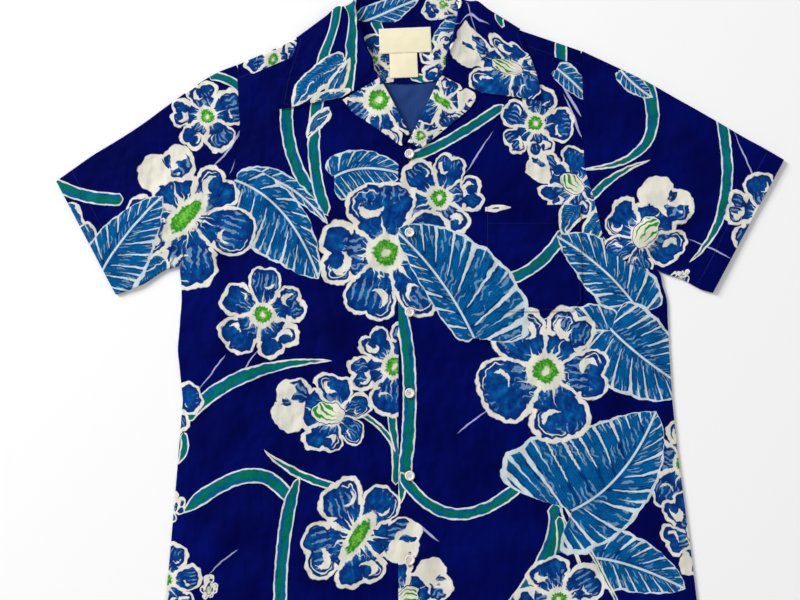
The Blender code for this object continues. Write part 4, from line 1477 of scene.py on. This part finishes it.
def collar_grid():
    """One-piece camp collar: it stands up round the neck, rolls over and falls on to the back and fronts."""
    half = [collar_section(*rows) for rows in zip(COLLAR_RIDGE, COLLAR_EDGE)]
    for sx, sy, ex, ey in COLLAR_FLAT:
        section = [Vector((sx + (ex - sx) * share, sy + (ey - sy) * share, 0)) for share in COLLAR_SHARES]
        for point in section:
            point.z = collar_rest(point)
        half.append((section, section))
    coarse = []
    for side, sections in ((-1, half[:0:-1]), (1, half)):
        for points, cloth in sections:
            row = []
            for p, c in zip(points, cloth):
                row.append((*neck(side * p.x, p.y), p.z, *neck(side * c.x, c.y)))
            coarse.append(row)
    fine = finer(finer(coarse, COLLAR_FINE, 0), [4, 4, 3, 3, 3, 3, 5, 7, 7, 7], 1)
    x, y, z = fine[..., 0], fine[..., 1], fine[..., 2]
    past_shoulder = [row[2] for row in COLLAR_EDGE].index(None) + 1
    on_fronts = COLLAR_FINE * (len(half) - past_shoulder)
    rest = front_z(x, y) + COLLAR_OVER_FRONT
    for rows in (slice(0, on_fronts), slice(len(fine) - on_fronts, len(fine))):
        z[rows] = np.maximum(z[rows], rest[rows])
    fine[..., 2] = np.maximum(z, BACK_MID)
    return fine


def build_cloth():
    """All pieces of cloth. Returns their grids, for the sewing."""
    right_side = cloth_finish("print_cloth", True)
    wrong_side = cloth_finish("wrong_side_cloth", False)
    single, double = (right_side, wrong_side), (right_side, right_side)
    tape, tube = {"finishes": (label_finish(),), "wall": LABEL_WALL}, {"closed": True}
    grids = {
        "back": back_grid(), "left_front": front_grid(1), "right_front": front_grid(-1),
        "left_sleeve": sleeve_grid(1), "right_sleeve": sleeve_grid(-1), "pocket": pocket_grid(),
        "collar": collar_grid(), "yoke": yoke_grid(), "inner_yoke": inner_yoke_grid(),
        "left_lapel": facing_grid(1, TOP_ROLL, TOP_LAPEL_EDGE),
        "right_lapel": facing_grid(-1, UNDER_ROLL, UNDER_LAPEL_EDGE),
        "neck_label": label_grid(NECK_LABEL), "size_label": label_grid(SIZE_LABEL),
    }
    under_neck = (len(yoke_columns()) - 1) // 2 * YOKE_FINE
    upper = (20, grids["left_sleeve"].shape[1] * 3 // 4, 1)

    def on_yoke(row, column):
        return row <= YOKE_FINE * LOWER_STEPS or not YOKE_OPEN[0] < column / YOKE_FINE < YOKE_OPEN[1]

    back_print = scattered(-330, 340, -400, 300, 7)
    right_hidden = past(scattered(-560, -120, 100, 600, 3), (-452, 153), (-238, 302))
    left_hidden = past(scattered(120, 600, 100, 600, 5), (204, 306), (440, 183))
    yoke_hidden = scattered(-280, 260, 300, 560, 11)
    for shoulder in (((-216, 303), (-60, 360)), ((50, 360), (196, 303))):
        yoke_hidden = past(yoke_hidden, *shoulder)
    for name, node, key, motifs, looks_up, more in (
        ("back_panel", "back", "back", back_print, (20, 60, -1), {}),
        ("left_front_panel", "front_left", "left_front", LEFT_FRONT_PRINT, (60, 30, 1), {}),
        ("right_front_panel", "front_right", "right_front", RIGHT_FRONT_PRINT, (60, 30, 1), {}),
        ("left_lapel", "facing_left", "left_lapel", LEFT_LAPEL_PRINT, (20, 20, 1), {}),
        ("right_lapel", "facing_right", "right_lapel", RIGHT_LAPEL_PRINT, (20, 20, 1), {}),
        ("left_sleeve_tube", "sleeve_left", "left_sleeve", left_hidden + LEFT_SLEEVE_PRINT, upper, tube),
        ("right_sleeve_tube", "sleeve_right", "right_sleeve", right_hidden + RIGHT_SLEEVE_PRINT, upper, tube),
        ("outer_yoke", "yoke", "yoke", yoke_hidden + YOKE_PRINT, (2, under_neck, -1), {"keep": on_yoke}),
        ("inner_yoke", "yoke_lining", "inner_yoke", INNER_YOKE_PRINT, (5, 10, 1), {}),
        ("camp_collar", "collar", "collar", COLLAR_PRINT, (-4, -4, 1), {"finishes": double, "wall": 1.1}),
        ("chest_pocket", "pocket", "pocket", POCKET_PRINT, (5, 10, 1), {}),
        ("neck_label_tape", "neck_label", "neck_label", (), (3, 3, 1), tape),
        ("size_label_tape", "size_label", "size_label", (), (3, 3, 1), tape),
    ):
        piece = cloth_piece(name, node, grids[key], motifs, looks_up=looks_up, **{"finishes": single, **more})
    return grids


# Sewing

def line_in(grid, distance, wall=WALL):
    """The path on a piece's upper side that lies a distance in from its grid's first row."""
    points = grid[..., :3]
    far = np.cumsum(np.linalg.norm(np.diff(points, axis=0, prepend=points[:1]), axis=2), axis=0)
    up = np.cross(np.gradient(points, axis=0), np.gradient(points, axis=1))
    surface = points + up * np.sign(up[..., 2:]) / np.linalg.norm(up, axis=2)[..., None] * wall / 2
    return np.array([[np.interp(distance, far[:, c], surface[:, c, k]) for k in range(3)]
                     for c in range(points.shape[1])])


def row_of_stitches(path, start=0.0, end=0.0, pitch=STITCH):
    """Both ends of each stitch of an even row along a path.

    The row starts a distance past the path's start, and ends a distance before its end.
    """
    far = np.concatenate([[0.0], np.cumsum(np.linalg.norm(np.diff(path, axis=0), axis=1))])
    length = far[-1] - start - end
    count = round(length / pitch)
    at = start + (np.arange(count)[:, None] + (0.1, 0.9)) * length / count
    return np.stack([np.interp(at, far, path[:, k]) for k in range(3)], axis=2)


def buttonhole(x, y):
    """Close stitches across both sides of a slit, and a bar at each of its ends."""
    sides = [((x + side * 0.25, y + off), (x + side * 1.7, y + off))
             for side in (-1, 1) for off in np.arange(-7.2, 7.3, 0.45)]
    bars = [((x - 1.8, y + end * off), (x + 1.8, y + end * off))
            for end in (-1, 1) for off in (7.6, 8.0, 8.4)]
    return np.array([[(px, py, float(panel_z(1, px, py)) + WALL / 2) for px, py in stitch]
                     for stitch in sides + bars])


def sew(name, rows, finish, thread=THREAD):
    """Stitches joined into one piece, each a slim bead half sunk in the cloth."""
    ends = np.concatenate(rows)
    middle, along = ends.mean(1), (ends[:, 1] - ends[:, 0]) / 2
    across = np.cross((0, 0, 1), along)
    across /= np.linalg.norm(across, axis=1)[:, None]
    up = np.cross(along, across)
    up /= np.linalg.norm(up, axis=1)[:, None]
    bead = bmesh.new()
    bmesh.ops.create_uvsphere(bead, u_segments=6, v_segments=4, radius=1.0)
    shape = np.array([vert.co for vert in bead.verts])
    faces = [[vert.index for vert in face.verts] for face in bead.faces]
    bead.free()
    points = (middle[:, None] + shape[:, :1] * across[:, None] * thread / 2
              + shape[:, 1:2] * up[:, None] * thread * 0.36 + shape[:, 2:] * along[:, None]) * MM
    every = [[k * len(shape) + v for v in face] for k in range(len(ends)) for face in faces]
    mesh = bpy.data.meshes.new(name)
    mesh.from_pydata(points.reshape(-1, 3).tolist(), [], every)
    settle(shown(name, mesh, finish), slot=None)


def build_sewing(grids):
    """Rows along hems, cuffs, collar, lapels, yoke, pocket and labels, and the buttonholes."""
    navy = thread_finish("navy_thread", dye("thread"))
    cream = thread_finish("label_thread", dye("cream"))
    turned = {name: grid.transpose(1, 0, 2) for name, grid in grids.items()}
    collar, pocket, yoke = grids["collar"], grids["pocket"], grids["yoke"][::-1]
    # The collar's rows from its point to the shoulder, and a sleeve's columns on its upper side
    flat_rows = 6 * COLLAR_FINE
    sleeve_top = slice(96, 181)
    first, last = (YOKE_FINE * column for column in YOKE_OPEN)
    sewn = {
        "left_front_panel": [(grids["left_front"], HEM, 1, 1)],
        "right_front_panel": [(grids["right_front"], HEM, 1, 1)],
        "left_sleeve_tube": [(grids["left_sleeve"][::-1, sleeve_top], HEM, 0, 0)],
        "right_sleeve_tube": [(grids["right_sleeve"][::-1, sleeve_top], HEM, 0, 0)],
        "left_lapel": [(turned["left_lapel"][::-1], EDGE_ROW, 2, 2)],
        "right_lapel": [(turned["right_lapel"][::-1], EDGE_ROW, 2, 2)],
        "outer_yoke": [(yoke[:, :first + 1], 2, 1, 1), (yoke[:, last:], 2, 1, 1)],
        "camp_collar": [(collar, EDGE_ROW, 1, EDGE_ROW), (collar[::-1], EDGE_ROW, 1, EDGE_ROW),
                        (turned["collar"][::-1, :flat_rows], EDGE_ROW, EDGE_ROW, 0),
                        (turned["collar"][::-1, :-flat_rows:-1], EDGE_ROW, EDGE_ROW, 0)],
        "chest_pocket": [(pocket, HEM, 2.5, 2.5), (pocket[::-1], 2.5, 3, 3),
                         (turned["pocket"], 2.5, 1, 3), (turned["pocket"][::-1], 2.5, 1, 3)],
    }
    for name, lines in sewn.items():
        rows = [row_of_stitches(line_in(grid, distance), start, end) for grid, distance, start, end in lines]
        if name == "left_front_panel":
            rows += [buttonhole(CENTRE_X, BUTTON_TOP_Y - BUTTON_PITCH * k) for k in range(BUTTON_COUNT)]
        sew(name + "_stitches", rows, navy)
    for name, sides in (("neck_label", 4), ("size_label", 1)):
        grid, other = grids[name], turned[name]
        lines = (grid[::-1], grid, other, other[::-1])[:sides]
        rows = [row_of_stitches(line_in(line, 1.2, LABEL_WALL), 1.2, 1.2, 1.7) for line in lines]
        sew(name + "_tape_stitches", rows, cream, 0.3)


def mesh_piece(name, bm, finish, place):
    """A piece from a bmesh, with its place put into its mesh."""
    bmesh.ops.transform(bm, matrix=place, verts=bm.verts)
    mesh = bpy.data.meshes.new(name)
    bm.to_mesh(mesh)
    bm.free()
    return shown(name, mesh, finish)


def button_disc(name, finish, place):
    """A button, turned from a profile with a raised rim and bored with four holes."""
    rim, thick = BUTTON_RADIUS, BUTTON_THICK
    profile = (
        (0, 0), (rim - 1.1, 0), (rim - 0.5, 0.2), (rim - 0.1, 0.7), (rim, 1.2), (rim - 0.15, thick - 0.5),
        (rim - 0.5, thick - 0.15), (rim - 1.0, thick), (rim - 1.5, thick - 0.1), (rim - 1.9, thick - 0.45),
        (rim - 2.4, thick - 0.65), (0, thick - 0.7),
    )
    bm = bmesh.new()
    verts = [bm.verts.new((r * MM, 0, h * MM)) for r, h in profile]
    edges = [bm.edges.new(pair) for pair in zip(verts, verts[1:])]
    bmesh.ops.spin(bm, geom=verts + edges, cent=(0, 0, 0), axis=(0, 0, 1), angle=math.tau, steps=40,
                   use_merge=True)
    bmesh.ops.remove_doubles(bm, verts=bm.verts, dist=1e-6)
    bmesh.ops.recalc_face_normals(bm, faces=bm.faces)
    disc = mesh_piece(name, bm, finish, place)
    cutters = bmesh.new()
    bore = BUTTON_HOLE * MM
    for k in range(4):
        turn = math.radians(45 + 90 * k)
        at = Vector((HOLES_OUT * math.cos(turn), HOLES_OUT * math.sin(turn), thick / 2)) * MM
        bmesh.ops.create_cone(cutters, cap_ends=True, segments=14, radius1=bore, radius2=bore,
                              depth=2 * thick * MM, matrix=Matrix.Translation(at))
    drill = mesh_piece("drill", cutters, finish, place)
    holes = disc.modifiers.new("holes", "BOOLEAN")
    holes.object = drill
    bored = bpy.data.meshes.new_from_object(disc.evaluated_get(bpy.context.evaluated_depsgraph_get()))
    disc.modifiers.remove(holes)
    disc.data = bored
    bpy.data.objects.remove(drill)
    bored.shade_smooth()
    bored.set_sharp_from_angle(angle=math.radians(35))
    return disc


def button_thread(name, finish, place):
    """Two bars of three strands, each from one hole of a button to the next."""
    bm = bmesh.new()
    size = Matrix.Diagonal(Vector((1.25, 0.13, 0.2, 1)) * MM)
    size[3][3] = 1
    for side in (-1, 1):
        for lane in (-0.2, 0.0, 0.2):
            at = Vector((0, side * HOLES_OUT * 0.707 + lane, BUTTON_THICK - 0.55)) * MM
            bmesh.ops.create_uvsphere(bm, u_segments=10, v_segments=6, radius=1.0,
                                      matrix=Matrix.Translation(at) @ size)
    return mesh_piece(name, bm, finish, place)


def build_buttons():
    """The buttons and their thread, each turned a little further than the one above it."""
    pearl = pearl_finish()
    cream = thread_finish("button_thread", dye("cream"))
    for number in range(BUTTON_COUNT):
        x, y = CENTRE_X, BUTTON_TOP_Y - BUTTON_PITCH * number
        base = float(front_z(x, y) + overlap_z(x)) + WALL / 2 + 0.3
        place = Matrix.Translation(Vector((x, y, base)) * MM) @ Matrix.Rotation(0.6 * number, 4, "Z")
        name = f"button_{number + 1}"
        settle(button_disc(name + "_disc", pearl, place), name, slot="button_pearl")
        settle(button_thread(name + "_thread", cream, place), slot=None)


def build_stage():
    """A pale floor, a large window light from the upper left, a weak fill light and a white room."""
    bm = bmesh.new()
    bmesh.ops.create_grid(bm, x_segments=1, y_segments=1, size=6.0)
    paper = Finish("floor_paper", 0.9).coloured((0.9, 0.9, 0.9, 1.0))
    floor = mesh_piece("floor", bm, paper, Matrix.Translation((0, 0, -0.0003)))
    for name, place, size, power in (
        ("window", (-4.4, 3.0, 2.7), 2.2, 430.0),
        ("fill", (2.4, -1.6, 4.4), 3.6, 36.0),
    ):
        light = bpy.data.lights.new(name, "AREA")
        light.size = size
        light.energy = power
        lamp = bpy.data.objects.new(name, light)
        lamp.location = place
        lamp.rotation_euler = (-Vector(place)).to_track_quat("-Z", "Y").to_euler()
        bpy.context.scene.collection.objects.link(lamp)
    world = bpy.data.worlds.new("studio")
    world.use_nodes = True
    world.node_tree.nodes["Background"].inputs["Color"].default_value = (1.0, 1.0, 1.0, 1.0)
    world.node_tree.nodes["Background"].inputs["Strength"].default_value = 0.42
    bpy.context.scene.world = world


def build_camera():
    """Above the shirt, tipped a little towards its collar, as the photograph was taken."""
    tilt = 0.097
    upright = math.sqrt(1 - tilt * tilt)
    data = bpy.data.cameras.new("camera")
    data.lens = 40.0
    data.sensor_width = 36.0
    camera = bpy.data.objects.new("camera", data)
    camera.matrix_world = Matrix((
        (1, 0, 0, -0.0242),
        (0, upright, -tilt, -0.0888),
        (0, tilt, upright, 1.0341),
        (0, 0, 0, 1),
    ))
    bpy.context.scene.collection.objects.link(camera)
    bpy.context.scene.camera = camera
    bpy.context.scene.view_settings.view_transform = "Standard"


build_sewing(build_cloth())
build_buttons()
build_stage()
build_camera()
